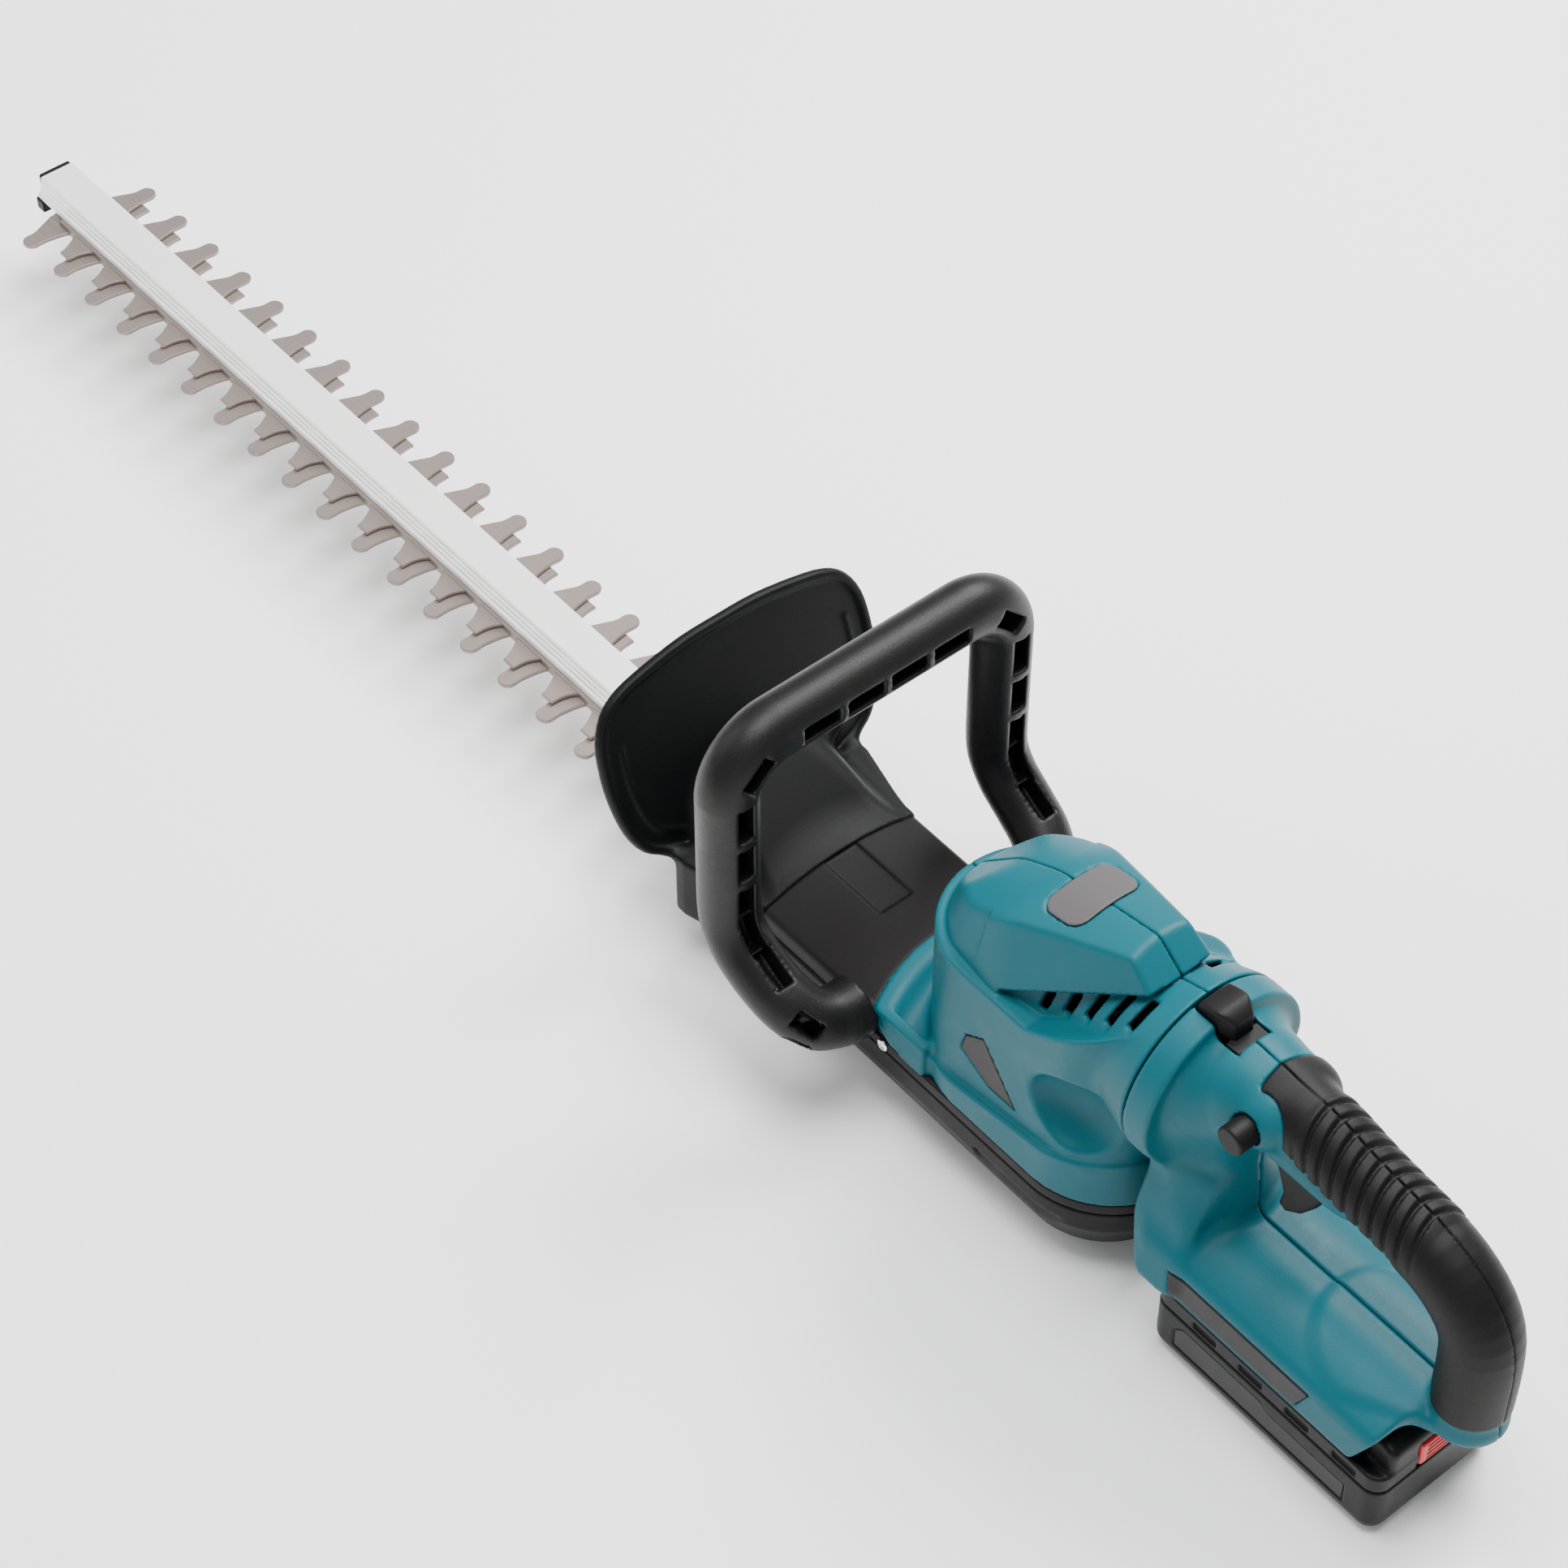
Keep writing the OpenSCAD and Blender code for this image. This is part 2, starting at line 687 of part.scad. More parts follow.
module housing() {
    $fn = 32;
    difference() {
        union() {
            difference() {
                housing_solid(0);
                housing_solid(wall);
            }
            intersection() {
                housing_solid(0.5);
                for (p = housing_screw_places) rod_y(p[0], p[1], 5.5, -60, 60);
            }
        }
        intersection() {
            translate([-260, -42.1, 49]) cube([200, 84.2, 6]);
            along_x(-400, 0) square([84.2, 200], center = true);
        }
        translate([0, 0, base_top_z - 1]) linear_extrude(deck_t + 1) base_outline(wall);
        translate([motor_x, 0, 40]) cylinder(h = 115, r = motor_r + 0.3);
        rod_x(seam_x - 10, seam_x + 16, swivel_z, sleeve_outer_r + 6);
        badge_shape(0.1);
        mirrored_y() for (i = [0:4])
            translate([-288 - i * 11, 18, 142 + i * 7]) rotate([0, 12, 0]) cube([4, 40, 13]);
        for (p = housing_screw_places) {
            rod_y(p[0], p[1], 1.6, -60, 60);
            rod_y(p[0], p[1], 3.4, -60, p[2]);
        }
    }
}

module housing_left() {
    color("#0a93a3") intersection() {
        housing();
        translate([-400, 0, 0]) cube([300, 100, 250]);
    }
}

module housing_right() {
    color("#0a8c9c") intersection() {
        housing();
        translate([-400, -100, 0]) cube([300, 100, 250]);
    }
}

module housing_screws() {
    color("silver") for (p = housing_screw_places) union() {
        rod_y(p[0], p[1], 1.6, p[2], 12);
        rod_y(p[0], p[1], 3.2, p[2] - 3, p[2]);
    }
}

module badge_shape(gap) {
    translate([-282, 0, 177.6]) rotate([0, 15, 0]) linear_extrude(2.6) union() {
        square([22 + gap, 30], center = true);
        square([14, 38 + gap], center = true);
        for (sx = [-7, 7]) for (sy = [-15, 15]) translate([sx, sy]) circle(r = 4 + gap / 2);
    }
}

module badge_plate() {
    color("#77767c") badge_shape(0);
}

module side_plates() {
    color("#39383b") mirrored_y() translate([0, base_half + 0.9, 0]) rotate([90, 0, 0]) linear_extrude(0.9)
        polygon([[-254, 88], [-257, 99], [-268, 106], [-289, 78], [-272, 78]]);
}

module swivel_ring() {
    color("#8c8f94") difference() {
        union() {
            rod_x(seam_x + 1, seam_x + 15, swivel_z, sleeve_outer_r + 6);
            rod_x(seam_x + 3.4, seam_x + 6.4, swivel_z, sleeve_outer_r + 9);
        }
        rod_x(seam_x - 1, seam_x + 20, swivel_z, sleeve_outer_r + 0.05);
    }
}

// ---- Rear handle ----

module swivel_sleeve() {
    color("#3b3b3e") difference() {
        union() {
            rod_x(seam_x - 8, seam_x + 15.5, swivel_z, sleeve_outer_r);
            rod_x(seam_x + 15.5, seam_x + 18, swivel_z, sleeve_outer_r + 4);
            rod_x(seam_x - 7, seam_x - 3.5, swivel_z, sleeve_outer_r + 5);
        }
        rod_x(seam_x - 30, seam_x + 20, swivel_z, sleeve_inner_r);
    }
}

module grip_knot(p, r) {
    translate([p[0], 0, p[1]]) sphere(r = r, $fn = 24);
}

module rear_handle_shell_solid(inset) {
    r = grip_r - inset - 1.5;
    rod_x(seam_x - 12, seam_x - 0.4 - inset, swivel_z, collar_r - inset);
    hull() {
        rod_x(seam_x - 14, seam_x - 10, swivel_z, collar_r - inset);
        grip_knot(grip_front, r);
        translate([-378, -17 + inset, 76]) cube([10, 34 - 2 * inset, 30]);
    }
    hull() {
        rod_x(seam_x - 14, seam_x - 10, 122, 26 - inset);
        translate([tray_front_x - 12, inset - tray_half, tray_z + inset])
            cube([10, 2 * (tray_half - inset), 16]);
        translate([-384, -22 + inset, 74]) cube([20, 44 - 2 * inset, 6]);
    }
    hull() {
        translate([tray_back_x + inset, inset - tray_half, tray_z + inset])
            cube([tray_front_x - tray_back_x - 2 * inset, 2 * (tray_half - inset), 18 - inset]);
        translate([tray_back_x - 6 + inset, inset - 26, tray_z + 18])
            cube([tray_front_x - tray_back_x - 2 * inset, 2 * (26 - inset),
                tray_top_z - tray_z - 18 - inset]);
    }
    hull() {
        translate([tray_back_x + 4, inset - 30, 60 + inset])
            cube([4, 60 - 2 * inset, tray_top_z - 60 - 2 * inset]);
        translate([rear_x + 12, 0, foot_bottom_z + inset]) cylinder(h = 12 - inset, r = 12 - inset);
    }
}

module rear_handle_solid(inset) {
    rear_handle_shell_solid(inset);
    grip_bar(grip_r - inset - 1.5);
}

module grip_bar(r) {
    hull() {
        grip_knot(grip_front, r);
        grip_knot(grip_mid, r);
    }
    hull() {
        grip_knot(grip_mid, r);
        grip_knot(grip_rear, r);
    }
    hull() {
        grip_knot(grip_rear, r);
        grip_knot(post_top, r);
    }
    hull() {
        grip_knot(post_top, r);
        grip_knot([post_bottom[0], post_bottom[1] + r - 8], r);
    }
}

module rear_handle() {
    difference() {
        union() {
            difference() {
                rear_handle_solid(0);
                rear_handle_solid(2.8);
            }
            translate([-382.6, -5, 165]) cube([2.2, 10, 11]);
            translate([-428, -5, 158.6]) cube([8, 10, 10]);
        }
        rod_x(seam_x - 9, seam_x + 1, swivel_z, sleeve_outer_r + 0.3);
        rod_x(seam_x - 9, seam_x - 3.2, swivel_z, sleeve_outer_r + 5.3);
        rod_y(trigger_x, trigger_z, 1.6, -12.2, 12.2);
        trigger_window();
        translate([-378.5, -9.5, 168]) cube([27, 19, 30]);
        rod_y(lock_off_x, lock_off_z, lock_off_r + 0.4, 0, 60);
        translate([-423, -21, 36]) cube([43, 42, 12]);
        for (p = rear_screw_places) {
            rod_y(p[0], p[1], 1.6, -60, 60);
            rod_y(p[0], p[1], 3.4, -60, p[2]);
        }
    }
}

rear_screw_places = [[-372, 84, -25], [-505, 76, -16], [-470, 62, -34]];

module rear_handle_left() {
    color("#0a93a3") intersection() {
        rear_handle();
        translate([-560, 0, 0]) cube([300, 100, 250]);
    }
}

module rear_handle_right() {
    color("#0a8c9c") intersection() {
        rear_handle();
        translate([-560, -100, 0]) cube([300, 100, 250]);
    }
}

module trigger_window() {
    translate([-437, -10.6, 100]) cube([43, 21.2, 54]);
}

module grip_rubber() {
    color("#1f1f20") difference() {
        grip_bar(grip_r);
        grip_bar(grip_r - 1.5);
        rear_handle_shell_solid(0);
        translate([grip_front[0] - 2, -60, 60]) cube([60, 120, 140]);
        translate([-560, -60, 0]) cube([120, 120, foot_bottom_z + 10]);
        trigger_window();
        rod_y(trigger_x, trigger_z, 1.6, -12.2, 12.2);
        rod_y(lock_off_x, lock_off_z, 8.2, 0, 60);
    }
}

module rear_handle_screws() {
    color("silver") for (p = rear_screw_places) union() {
        rod_y(p[0], p[1], 1.6, p[2], 8);
        rod_y(p[0], p[1], 3.2, p[2] - 3, p[2]);
    }
}

module switch_body() {
    color("#2c2c2f") difference() {
        translate([-459, -8, 144.5]) cube([19, 16, 12.5]);
        translate([-462, -6, 148]) cube([6, 2, 5]);
        translate([-462, 4, 148]) cube([6, 2, 5]);
    }
}

module control_board() {
    color("#1f5c3a") union() {
        translate([-455, -20, 60]) cube([60, 40, 1.6]);
        translate([-448, -14, 61.6]) cube([10, 8, 7]);
        translate([-430, -12, 61.6]) cube([14, 24, 3]);
        translate([-410, -6, 61.6]) cylinder(h = 9, r = 4);
        translate([-410, 6, 61.6]) cylinder(h = 9, r = 4);
    }
}

module terminal_block() {
    color("#202022") union() {
        translate([-416, -18, 36]) cube([34, 36, 18]);
        for (y = [-12, -4, 4, 12]) translate([-422, y - 0.5, 37]) cube([6, 1, 6]);
    }
}

module trigger_pin() {
    color("silver") rod_y(trigger_x, trigger_z, 1.5, -12, 12);
}

module tray_plates() {
    color("#29282b") mirrored_y() translate([0, tray_half + 0.8, 0]) rotate([90, 0, 0]) linear_extrude(0.8)
        polygon([[-383, 44.5], [-380, 57], [-455, 57], [-452, 44.5]]);
}

// ---- Controls ----

trigger_x = -400;
trigger_z = 145.5;
lock_off_x = -397;
lock_off_z = 157;
lock_off_r = 6.8;

module coil(r, wire, length, turns) {
    steps = turns * 14;
    ring = 6;
    rise = (length - 2 * wire) / steps;
    function centre(i) = [r * cos(360 * i / 14), r * sin(360 * i / 14), wire + rise * i];
    points = [for (i = [0:steps]) for (k = [0:ring - 1])
        let (a = 360 * k / ring, c = centre(i), d = 360 * i / 14)
        [c[0] + wire * cos(a) * cos(d), c[1] + wire * cos(a) * sin(d), c[2] + wire * sin(a)]];
    sides = [for (i = [0:steps - 1]) for (k = [0:ring - 1])
        [i * ring + k, (i + 1) * ring + k, (i + 1) * ring + (k + 1) % ring, i * ring + (k + 1) % ring]];
    ends = [[for (k = [0:ring - 1]) k], [for (k = [ring - 1:-1:0]) steps * ring + k]];
    polyhedron(points, concat(sides, ends));
}

module trigger() {
    color("#1b1b1d") difference() {
        translate([0, 10, 0]) rotate([90, 0, 0]) linear_extrude(20) union() {
            polygon([[-396.5, 143], [-396.5, 147], [-404, 149.2], [-424, 147], [-432, 143], [-431, 134],
                [-427, 124], [-419, 112], [-412, 107], [-407, 109], [-409, 118], [-405, 130], [-398, 140]]);
            translate([trigger_x, trigger_z]) circle(r = 4);
        }
        rod_y(trigger_x, trigger_z, 1.55, -20, 20);
    }
}

module trigger_spring() {
    color("silver") translate([-424, 0, 148.4]) coil(3, 0.5, 10, 5);
}

module lock_off_button() {
    color("#1b1b1d") union() {
        rod_y(lock_off_x, lock_off_z, lock_off_r, 3, 31);
        rod_y(lock_off_x, lock_off_z, lock_off_r - 1, 31, 32);
    }
}

module lock_off_spring() {
    color("silver") translate([lock_off_x, 2.8, lock_off_z]) rotate([90, 0, 0]) coil(3.4, 0.5, 15.5, 6);
}

module rotation_lock() {
    color("#1b1b1d") union() {
        hull() {
            translate([-371, -9, 176]) cube([19, 18, 4]);
            translate([-369, -6, 183]) cube([14, 12, 4]);
        }
        translate([-371, -9, 169]) cube([19, 18, 7.5]);
        translate([-371, -4, 165]) cube([5, 8, 4.5]);
    }
}

module rotation_lock_spring() {
    color("silver") translate([-371.2, 0, 170]) rotate([0, -90, 0]) coil(2.2, 0.4, 9, 5);
}

// ---- Battery ----

module battery_outline(inset) {
    x0 = -503 + inset;
    x1 = -372 - inset;
    r = 8 - inset;
    translate([x0 + r, inset - battery_half]) square([x1 - x0 - 2 * r, 2 * (battery_half - inset)]);
    translate([x0, inset - battery_half + r]) square([x1 - x0, 2 * (battery_half - inset - r)]);
    for (x = [x0 + r, x1 - r]) for (s = [-1, 1])
        translate([x, s * (battery_half - inset - r)]) circle(r = r);
}

module battery_case() {
    color("#1a1a1c") difference() {
        hull() {
            translate([0, 0, 6]) linear_extrude(24) battery_outline(0);
            linear_extrude(1) battery_outline(4);
        }
        translate([0, 0, 3]) linear_extrude(40) battery_outline(6.5);
        mirrored_y() translate([-486, battery_half - 0.9, 10]) cube([100, 23.4, 15]);
    }
}

module battery_lid() {
    color("#202022") difference() {
        union() {
            translate([0, 0, 30]) linear_extrude(battery_h - 30) battery_outline(0);
            hull() {
                translate([-503, -30, 36]) cube([17, 60, 10]);
                translate([-500, -27, 52]) cube([12, 54, 4]);
            }
        }
        translate([-424, -20, 34]) cube([60, 40, 10]);
        translate([-480, -34, 29]) cube([50, 68, 6]);
        translate([-510, -14.3, 29]) cube([17, 28.6, 19.3]);
        mirrored_y() translate([-482, 33, 36]) cube([112, 10, 1.6]);
    }
}

module battery_cells() {
    color("#3d78b4") for (i = [0:4]) rod_y(-398 - i * 19.2, 13.5, 9.2, -29.5, 29.5);
}

module battery_plates() {
    color("#4b4b50") mirrored_y() translate([0, battery_half - 0.1, 0]) rotate([90, 0, 0])
        linear_extrude(0.8) polygon([[-485, 11], [-387, 11], [-387, 20], [-392, 24],
            [-436, 24], [-440, 21], [-485, 21]]);
}

module battery_latch() {
    color("#b3171b") difference() {
        translate([-504, -14, 33.5]) cube([10, 28, 14]);
        for (i = [0:3]) translate([-505, -10, 36 + i * 3]) cube([1.8, 20, 1.2]);
        translate([-499, 0, 33]) cylinder(h = 6, r = 3);
    }
}

module latch_spring() {
    color("silver") translate([-499, 0, 30.1]) coil(2.2, 0.4, 8.6, 5);
}

blade_rail();
rail_end_cap();
guide_bolts();
guide_sleeves();
guide_washers();
hand_guard();
guard_screws();
gear_cover();
cover_panel();
gear_case();
base_cover();
base_screws();
flange_screws();
front_handle();
handle_screws();
housing_left();
housing_right();
housing_screws();
badge_plate();
side_plates();
motor_can();
motor_end_cap();
brush_holders();
crank_bearings();
motor_bearings();
felt_seal();
swivel_ring();
upper_blade();
lower_blade();
crank_gear();
crank_shaft();
upper_cam();
lower_cam();
motor_shaft();
armature();
commutator();
cooling_fan();
pinion();
rear_handle_left();
rear_handle_right();
grip_rubber();
rear_handle_screws();
swivel_sleeve();
switch_body();
control_board();
terminal_block();
trigger_pin();
tray_plates();
trigger();
trigger_spring();
lock_off_button();
lock_off_spring();
rotation_lock();
rotation_lock_spring();
battery_case();
battery_lid();
battery_cells();
battery_plates();
battery_latch();
latch_spring();
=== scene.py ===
"""Looks of a cordless hedge trimmer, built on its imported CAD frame.

Curved shells are sculpted as signed distance fields in millimetres and turned into
quads. What repeats, such as the teeth, is laid out with Geometry Nodes. Small and
inner parts keep their CAD meshes and only get finishes.
"""

import json
import logging
import math
from dataclasses import dataclass
from enum import Enum
from typing import Callable, Iterable, Sequence

import bmesh
import bpy
import numpy as np
import openvdb as vdb
from mathutils import Matrix, Vector


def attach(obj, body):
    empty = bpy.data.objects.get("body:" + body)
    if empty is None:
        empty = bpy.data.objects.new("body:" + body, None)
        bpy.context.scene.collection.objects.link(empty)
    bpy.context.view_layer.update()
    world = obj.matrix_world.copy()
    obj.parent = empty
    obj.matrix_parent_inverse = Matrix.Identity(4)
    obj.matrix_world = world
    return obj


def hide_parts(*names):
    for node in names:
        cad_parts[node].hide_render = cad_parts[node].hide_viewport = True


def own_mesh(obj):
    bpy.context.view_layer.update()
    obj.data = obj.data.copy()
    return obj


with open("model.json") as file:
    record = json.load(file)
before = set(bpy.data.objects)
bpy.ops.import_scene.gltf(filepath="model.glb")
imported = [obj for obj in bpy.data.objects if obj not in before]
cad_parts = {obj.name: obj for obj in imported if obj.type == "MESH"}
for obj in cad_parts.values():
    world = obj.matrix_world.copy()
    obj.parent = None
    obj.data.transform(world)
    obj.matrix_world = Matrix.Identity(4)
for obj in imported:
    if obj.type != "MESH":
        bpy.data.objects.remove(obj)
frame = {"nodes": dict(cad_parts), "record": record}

LOG = logging.getLogger("scene")
MM = 0.001
Point = Sequence[float]
Grid = tuple[np.ndarray, np.ndarray, np.ndarray]
Field = Callable[[Grid], np.ndarray]


class Body(str, Enum):
    """Moving groups of the frame that pieces ride on."""

    MAIN = "main_body"
    TOP = "top_blade"
    BOTTOM = "bottom_blade"
    HANDLE = "rear_handle"
    TRIGGER = "trigger_lever"
    LOCK_OFF = "lock_off"
    SWIVEL_LOCK = "swivel_lock"
    BATTERY = "battery"
    CATCH = "battery_catch"


# ---------------------------------------------------------------- shader maths


class Sock:
    """A shader value; operators on it add maths nodes to its tree."""

    def __init__(self, tree: bpy.types.NodeTree, socket: bpy.types.NodeSocket) -> None:
        self.tree = tree
        self.socket = socket

    def _math(self, kind: str, *values: "Sock | float", clamp: bool = False) -> "Sock":
        """Adds a Math node.

        Args:
            kind: The node's operation.
            values: Its inputs, in order.
            clamp: Whether the result is held between 0 and 1.

        Returns:
            The node's output.
        """
        node = self.tree.nodes.new("ShaderNodeMath")
        node.operation = kind
        node.use_clamp = clamp
        for target, value in zip(node.inputs, values):
            if isinstance(value, Sock):
                self.tree.links.new(value.socket, target)
            else:
                target.default_value = value
        return Sock(self.tree, node.outputs[0])

    def __add__(self, other: "Sock | float") -> "Sock":
        return self._math("ADD", self, other)

    __radd__ = __add__

    def __mul__(self, other: "Sock | float") -> "Sock":
        return self._math("MULTIPLY", self, other)

    __rmul__ = __mul__

    def __sub__(self, other: "Sock | float") -> "Sock":
        return self._math("SUBTRACT", self, other)

    def __rsub__(self, other: float) -> "Sock":
        return self._math("SUBTRACT", other, self)

    def __truediv__(self, other: "Sock | float") -> "Sock":
        return self._math("DIVIDE", self, other)

    def __pow__(self, other: float) -> "Sock":
        return self._math("POWER", self, other)

    def ramp(self, low: float, high: float) -> "Sock":
        """Returns 0 below low, 1 above high and a smooth rise between them."""
        node = self.tree.nodes.new("ShaderNodeMapRange")
        node.interpolation_type = "SMOOTHSTEP"
        self.tree.links.new(self.socket, node.inputs["Value"])
        node.inputs["From Min"].default_value = low
        node.inputs["From Max"].default_value = high
        return Sock(self.tree, node.outputs["Result"])


class Shader:
    """One material under construction."""

    def __init__(self, name: str) -> None:
        self.material = bpy.data.materials.new(name)
        self.material.use_nodes = True
        self.tree = self.material.node_tree
        self.bsdf = self.tree.nodes["Principled BSDF"]
        self.coords = self.tree.nodes.new("ShaderNodeTexCoord").outputs["Object"]

    def noise(self, scale: float, detail: float = 2.0, stretch: Point = (1, 1, 1)) -> Sock:
        """Adds noise in object space.

        Args:
            scale: Waves per metre.
            detail: Octaves.
            stretch: Factor on each axis before the noise is read.

        Returns:
            The noise value, about 0.5.
        """
        mapping = self.node("ShaderNodeMapping", Scale=tuple(stretch))
        self.tree.links.new(self.coords, mapping.inputs["Vector"])
        node = self.node("ShaderNodeTexNoise", Scale=scale, Detail=detail, Roughness=0.55)
        self.tree.links.new(mapping.outputs["Vector"], node.inputs["Vector"])
        return Sock(self.tree, node.outputs["Fac"])

    def node(self, kind: str, **inputs: object) -> bpy.types.Node:
        """Adds a node of any kind and sets its named inputs."""
        node = self.tree.nodes.new(kind)
        for key, value in inputs.items():
            node.inputs[key.replace("_", " ")].default_value = value
        return node

    def mix(self, factor: Sock, low: Point, high: Point) -> bpy.types.NodeSocket:
        """Returns a colour between low and high by the factor."""
        node = self.tree.nodes.new("ShaderNodeMix")
        node.data_type = "RGBA"
        self.tree.links.new(factor.socket, node.inputs["Factor"])
        node.inputs[6].default_value = (*low, 1)
        node.inputs[7].default_value = (*high, 1)
        return node.outputs[2]

    def set(self, name: str, value: "Sock | bpy.types.NodeSocket | float") -> None:
        """Links or sets one input of the surface shader."""
        if isinstance(value, Sock):
            value = value.socket
        if isinstance(value, bpy.types.NodeSocket):
            self.tree.links.new(value, self.bsdf.inputs[name])
        else:
            self.bsdf.inputs[name].default_value = value

    def bump(self, height: Sock, depth: float, strength: float = 1.0) -> None:
        """Gives the surface a fine relief of the given depth in metres."""
        node = self.node("ShaderNodeBump", Strength=strength, Distance=depth)
        self.tree.links.new(height.socket, node.inputs["Height"])
        self.tree.links.new(node.outputs["Normal"], self.bsdf.inputs["Normal"])


@dataclass(frozen=True)
class Plastic:
    """A moulded finish with spark-eroded grain and slight wear."""

    name: str
    color: tuple[float, float, float]
    worn: tuple[float, float, float]
    roughness: float = 0.5
    grain: float = 900.0
    depth: float = 0.00006
    wear: float = 0.3
    specular: float = 0.5

    def build(self) -> bpy.types.Material:
        """Returns the finished material."""
        s = Shader(self.name)
        cloud = s.noise(14, 3)
        grain = s.noise(self.grain, 2)
        speck = s.noise(self.grain * 1.7, 1).ramp(0.6, 0.72)
        scuff = (s.noise(60, 4) * 0.6 + s.noise(9, 2) * 0.5).ramp(0.56, 0.74)
        s.set("Base Color", s.mix(cloud * 0.35 + scuff * self.wear + speck * 0.12, self.color, self.worn))
        s.set("Roughness", self.roughness + (grain - 0.5) * 0.14 - scuff * 0.07 + (cloud - 0.5) * 0.08)
        s.set("Specular IOR Level", self.specular)
        s.bump(grain + speck * 0.4, self.depth)
        return s.material


@dataclass(frozen=True)
class Metal:
    """A drawn or ground metal with lines along one axis."""

    name: str
    color: tuple[float, float, float]
    dark: tuple[float, float, float]
    roughness: float = 0.34
    lines: tuple[float, float, float] = (0.02, 1, 1)
    scale: float = 1500.0
    depth: float = 0.00002
    metallic: float = 1.0

    def build(self) -> bpy.types.Material:
        """Returns the finished material."""
        s = Shader(self.name)
        streak = s.noise(self.scale, 3, self.lines)
        cloud = s.noise(25, 3)
        fleck = s.noise(420, 2).ramp(0.66, 0.78)
        s.set("Base Color", s.mix(streak * 0.7 + cloud * 0.4 + fleck * 0.25, self.color, self.dark))
        s.set("Roughness", self.roughness + (streak - 0.5) * 0.2 + (cloud - 0.5) * 0.12)
        s.set("Metallic", self.metallic)
        s.bump(streak, self.depth)
        return s.material


@dataclass(frozen=True)
class Felt:
    """Pressed wool with loose fibres."""

    name: str
    color: tuple[float, float, float]
    light: tuple[float, float, float]

    def build(self) -> bpy.types.Material:
        """Returns the finished material."""
        s = Shader(self.name)
        fibre = s.noise(1800, 4, (1, 0.25, 1))
        s.set("Base Color", s.mix(fibre, self.color, self.light))
        s.set("Roughness", 0.9 + (fibre - 0.5) * 0.1)
        s.bump(fibre, 0.0003)
        return s.material


FINISHES: tuple[Plastic | Metal | Felt, ...] = (
    Plastic("teal_plastic", (0.0, 0.086, 0.112), (0.0, 0.1, 0.13), 0.46, 1300, 0.00005, 0.25, 0.2),
    Plastic("black_plastic", (0.0045, 0.0038, 0.0038), (0.009, 0.008, 0.0078), 0.5, 1300, 0.00005, 0.3, 0.16),
    Plastic("guard_plastic", (0.002, 0.0021, 0.0023), (0.004, 0.0042, 0.0045), 0.5, 1100, 0.00004, 0.2, 0.14),
    Plastic("handle_plastic", (0.004, 0.0036, 0.0036), (0.013, 0.012, 0.0115), 0.42, 1100, 0.00007, 0.45, 0.22),
    Plastic("button_plastic", (0.003, 0.003, 0.0032), (0.007, 0.007, 0.007), 0.5, 1500, 0.00005, 0.3, 0.18),
    Plastic("battery_plastic", (0.003, 0.0029, 0.003), (0.007, 0.0067, 0.007), 0.42, 1500, 0.00005, 0.3, 0.18),
    Plastic("grip_rubber", (0.004, 0.0035, 0.0035), (0.008, 0.0072, 0.007), 0.52, 1700, 0.00004, 0.25, 0.18),
    Plastic("grey_badge", (0.068, 0.062, 0.064), (0.085, 0.078, 0.08), 0.55, 1600, 0.00006, 0.2, 0.3),
    Plastic("label_black", (0.007, 0.006, 0.0063), (0.012, 0.011, 0.011), 0.38, 2200, 0.00002, 0.1, 0.22),
    Plastic("battery_label", (0.017, 0.0165, 0.0175), (0.023, 0.0225, 0.023), 0.4, 2200, 0.00002, 0.1, 0.22),
    Plastic("latch_red", (0.5, 0.012, 0.016), (0.6, 0.03, 0.03), 0.4, 1500, 0.00004),
    Plastic("cell_blue", (0.03, 0.12, 0.33), (0.05, 0.17, 0.42), 0.35, 900, 0.00002),
    Plastic("board_green", (0.012, 0.1, 0.045), (0.03, 0.17, 0.08), 0.4, 700, 0.00004),
    Metal("rail_aluminium", (0.98, 0.97, 0.965), (0.88, 0.87, 0.86), 0.38, (0.015, 1, 1), 1400, 0.00002, 0.3),
    Metal("blade_steel", (0.34, 0.285, 0.258), (0.2, 0.165, 0.15), 0.42, (0.03, 1, 1), 1100, 0.00003, 0.6),
    Metal("steel_bright", (0.66, 0.66, 0.67), (0.5, 0.5, 0.51), 0.32, (1, 1, 0.1), 900),
    Metal("chrome_screw", (0.86, 0.86, 0.88), (0.7, 0.7, 0.72), 0.16, (1, 1, 1), 600),
    Metal("gear_steel", (0.4, 0.4, 0.42), (0.26, 0.25, 0.25), 0.42, (1, 1, 0.05), 900),
    Metal("spring_steel", (0.5, 0.5, 0.52), (0.36, 0.36, 0.37), 0.3, (1, 1, 1), 1500),
    Metal("brass_parts", (0.8, 0.6, 0.28), (0.6, 0.42, 0.18), 0.35, (1, 1, 0.1), 900),
    Metal("copper_winding", (0.75, 0.34, 0.16), (0.5, 0.2, 0.09), 0.38, (1, 1, 0.04), 1800),
    Metal("cast_alloy", (0.55, 0.55, 0.56), (0.4, 0.4, 0.41), 0.55, (1, 1, 1), 700, 0.0001),
    Felt("felt", (0.15, 0.15, 0.14), (0.33, 0.32, 0.3)),
)


# ---------------------------------------------------------------- distance fields


def smin(a: np.ndarray, b: np.ndarray, k: float) -> np.ndarray:
    """Union of two fields with a blend of width k."""
    h = np.maximum(k - np.abs(a - b), 0) / k
    return np.minimum(a, b) - h * h * k * 0.25


def smax(a: np.ndarray, b: np.ndarray, k: float) -> np.ndarray:
    """Intersection of two fields with a blend of width k."""
    return -smin(-a, -b, k)


def cut(a: np.ndarray, b: np.ndarray, k: float = 0.8) -> np.ndarray:
    """Field a with field b removed from it."""
    return smax(a, -b, k)


